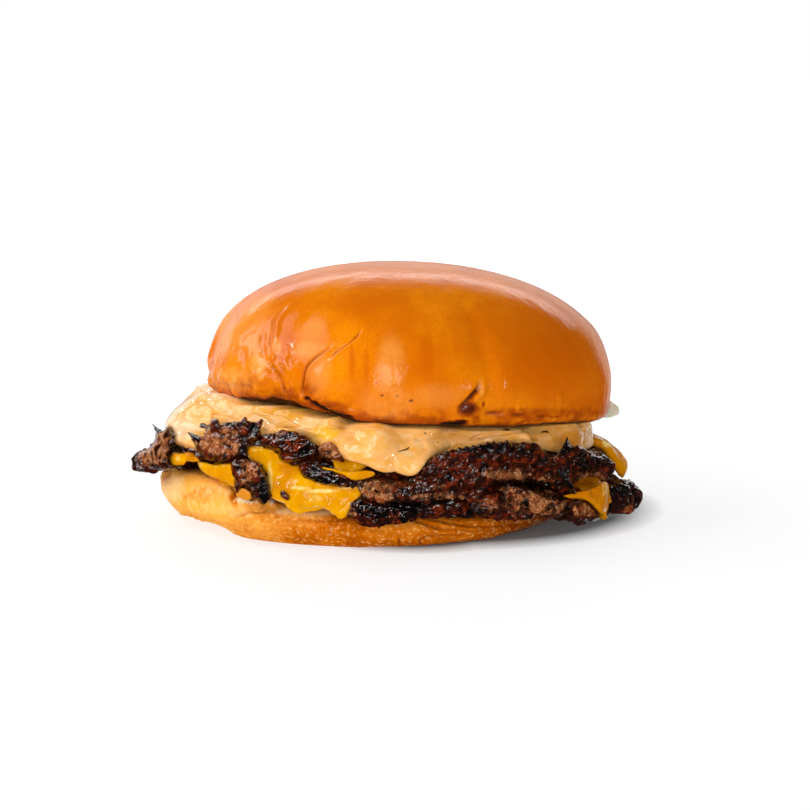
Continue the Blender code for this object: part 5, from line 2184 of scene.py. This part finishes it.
@dataclass(frozen=True)
class Studio:
    """A white table under soft window light from the left."""

    lights: tuple[Light, ...] = (
        Light("soft_left", -100.0, 40.0, 1.0, 0.8, 0.7, 4.6, True),
        Light("soft_front", -26.0, 5.0, 1.0, 0.8, 0.3, 3.4, False),
        Light("soft_right", 24.0, 4.0, 1.0, 0.5, 0.2, 0.6, False),
        Light("window_front", -12.0, 24.0, 1.0, 0.20, 0.62, 2.0, True),
        Light("window_side", -62.0, 27.0, 1.0, 0.16, 0.24, 1.0, True),
        Light("lamp", -60.0, 44.0, 1.0, 0.06, 0.06, 1.0, True),
        Light("lamp_right", 43.0, 8.0, 1.0, 0.07, 0.07, 0.5, True),
        Light("strip_behind", 180.0, 26.0, 1.2, 1.4, 0.03, 1.6, True),
    )
    painted_shadows: tuple[tuple[Spot, float, float], ...] = (
        ((0.016, 0.008, 0.0), 0.046, 0.058),
        ((0.008, -0.0255, 0.0), 0.018, 0.028),
    )
    half: float = 6.0
    under: float = -0.0001
    front: float = 0.32
    mirrored: float = 0.02

    def build(self) -> None:
        """Makes the table, the lights, the surrounding white and the camera."""
        self.table()
        for light in self.lights:
            data = bpy.data.lights.new(light.name, "AREA")
            data.shape = "RECTANGLE"
            data.size, data.size_y = light.wide, light.tall
            data.energy = light.power
            lamp = placed(light.name, data)
            turn, height = math.radians(light.turn), math.radians(light.height)
            way = Vector((math.sin(turn) * math.cos(height), -math.cos(turn) * math.cos(height), math.sin(height)))
            lamp.location = way * light.away + Vector((0.0, 0.0, 0.03))
            lamp.rotation_euler = way.to_track_quat("Z", "Y").to_euler()
            lamp.visible_glossy = light.shines
        self.world()
        bpy.context.scene.view_settings.view_transform = "Standard"
        VIEW.camera()

    def table(self) -> None:
        """Makes the white table, which glows a little towards the back, and much less near the burger, which paints
        its shadow there.
        """
        mesh = bpy.data.meshes.new("table")
        corners = [(x * self.half, y * self.half, self.under) for x, y in ((-1, -1), (1, -1), (1, 1), (-1, 1))]
        mesh.from_pydata(corners, [], [(0, 1, 2, 3)])
        recipe = Recipe("white_table")
        way = recipe.add("ShaderNodeSeparateXYZ", {0: recipe.place}).outputs
        # Painted shadow: near the burger the table's glow is cut, so it stays dark under and beside the burger.
        near = 0.0
        for spot, inner, outer in self.painted_shadows:
            away = recipe.add("ShaderNodeVectorMath", {0: recipe.place, 1: spot}, operation="DISTANCE")
            near = recipe.sum("MAXIMUM", near, recipe.level(away.outputs["Value"], inner, outer, 1.0, 0.0))
        grey = ((level,) * 3 for level in (0.27, 0.38, 0.29))
        shade = recipe.mix(next(grey), next(grey), near)
        shade = recipe.mix(shade, next(grey), recipe.cloud(60.0, 2.0, *USUAL, 0.0, 0.1))
        across = recipe.sum("ABSOLUTE", way["X"], 0.0)
        glow = recipe.level(recipe.sum("MAXIMUM", way["Y"], across), 0.1, 0.9, 0.74, 0.98)
        glow = recipe.sum("MULTIPLY", glow, recipe.level(near, 0.0, 1.0, 1.0, 0.05))
        bump = recipe.bump(recipe.noise(2.0, 2.0), 0.01)
        settings = {"Specular IOR Level": 0.1, "Emission Strength": glow, "Emission Color": (1.0, 1.0, 1.0)}
        mesh.materials.append(recipe.done(shade, 0.7, bump, settings))
        table = placed("table", mesh)
        table.visible_glossy = False

    def world(self) -> None:
        """Makes the surrounding white: bright behind the burger and dim in front of it."""
        world = bpy.data.worlds.new("white")
        world.use_nodes = True
        nodes = world.node_tree.nodes

        def node(kind: str, *inputs: object, **settings: object) -> bpy.types.NodeSocket:
            """Adds a node, feeds its inputs in their order and gives its first output."""
            return add_node(world.node_tree, kind, dict(enumerate(inputs)), **settings).outputs[0]

        place = nodes.new("ShaderNodeTexCoord").outputs["Generated"]
        way = add_node(world.node_tree, "ShaderNodeSeparateXYZ", {0: place})
        ray = nodes.new("ShaderNodeLightPath")
        soft = node("ShaderNodeMapRange", way.outputs["Y"], 0.25, 0.6, self.front, 0.95)
        window = node("ShaderNodeMapRange", way.outputs["Y"], 0.79, 0.88, 0.0, 1.3)
        above = node("ShaderNodeMapRange", way.outputs["Z"], -0.02, 0.05, 0.0, 1.0)
        across = node("ShaderNodeMath", way.outputs["X"], operation="ABSOLUTE")
        aside = node("ShaderNodeMapRange", across, 0.10, 0.25, 0.0, 0.8)
        low = node("ShaderNodeMapRange", way.outputs["Z"], -0.55, -0.35, 0.0, 1.0)
        aside = node("ShaderNodeMath", aside, low, operation="MULTIPLY")
        above = node("ShaderNodeMath", above, aside, operation="MAXIMUM")
        window = node("ShaderNodeMath", window, above, operation="MULTIPLY")
        sharp = node("ShaderNodeMath", window, self.mirrored, operation="MAXIMUM")
        strength = node("ShaderNodeMapRange", ray.outputs["Is Glossy Ray"], 0.0, 1.0, soft, sharp)
        unseen = node("ShaderNodeBackground", (0.98, 0.99, 1.0, 1.0), strength)
        shown = node("ShaderNodeBackground", (1.0, 1.0, 1.0, 1.0), 1.0)
        mixed = node("ShaderNodeMixShader", ray.outputs["Is Camera Ray"], unseen, shown)
        feed(world.node_tree, nodes["World Output"].inputs["Surface"], mixed)
        bpy.context.scene.world = world


def main() -> None:
    """Builds the burger from the heel up, in its studio."""
    logging.basicConfig(level=logging.INFO, format="%(message)s")
    Studio().build()
    crust, heel, beef = GlazedCrust().build(), SoftHeel().build(), SearedBeef().build()
    cheese, sauce = MeltedCheese().build(), PinkSauce().build()
    BunHeel().build(heel)
    top = BunTop().build(crust)
    thin = Grain(0.42, 0.75, 0.42, 3.0)
    thick = Grain(0.37, 0.75, 0.37, 3.0)
    lower_dents = blots(
        (134, 445, 8, 7, 5.0), (146, 437, 8, 6, 4.0), (198, 471, 15, 9, 4.0), (180, 456, 12, 8, 1.5),
        (262, 508, 32, 9, 6.0),
    )
    upper_dents = blots(
        (300, 468, 48, 22, 3.0), (225, 440, 40, 20, 1.5), (180, 433, 18, 14, 4.0), (480, 452, 60, 8, 1.0),
    )
    lower_holes = blots(
        (218, 488, 14, 12, 6.0), (523, 484, 18, 6, 4.5), (584, 483, 15, 5, 4.0), (615, 514, 6, 9, 4.0),
    )
    patties = [
        Layer("patty_lower", 101, thick, lower_dents, 0.6).build(beef, BEEF.relief),
        Layer("patty_upper", 107, thick, upper_dents).build(beef, BEEF.relief),
    ]
    Layer("cheese_lower", 111, thin, lower_holes).build(cheese, cheese_relief)
    Layer("cheese_upper", 117, thin, blots((335, 470, 30, 14, 2.0))).build(cheese, cheese_relief)
    coating = SauceLayer("sauce", 121, thin, blots((180, 400, 24, 18, 3.2))).build(sauce, sauce_relief)
    OnionSliver().build(RawOnion().build())
    flakes = TornBeef().build(beef)
    CheeseRuns().build(cheese)
    pepper = Speck("pepper", (0.02, 0.010, 0.003), (0.07, 0.04, 0.008)).build()
    SauceRuns().build(coating, sauce, pepper)
    Strewing("beef_grains", 22.0, 0.38, 0.6, 0.65, 5).over(patties + flakes, "grain", beef)
    Strewing("sauce_pepper", 1.6, 0.13, 0.6, 0.6, 9, 6, 4).over([coating], "herb", pepper)
    Strewing("crust_blisters", 14.0, 0.13, 0.6, 0.45, 12, 6, 4).over([top], "dots", crust)


if __name__ == "__main__":
    main()
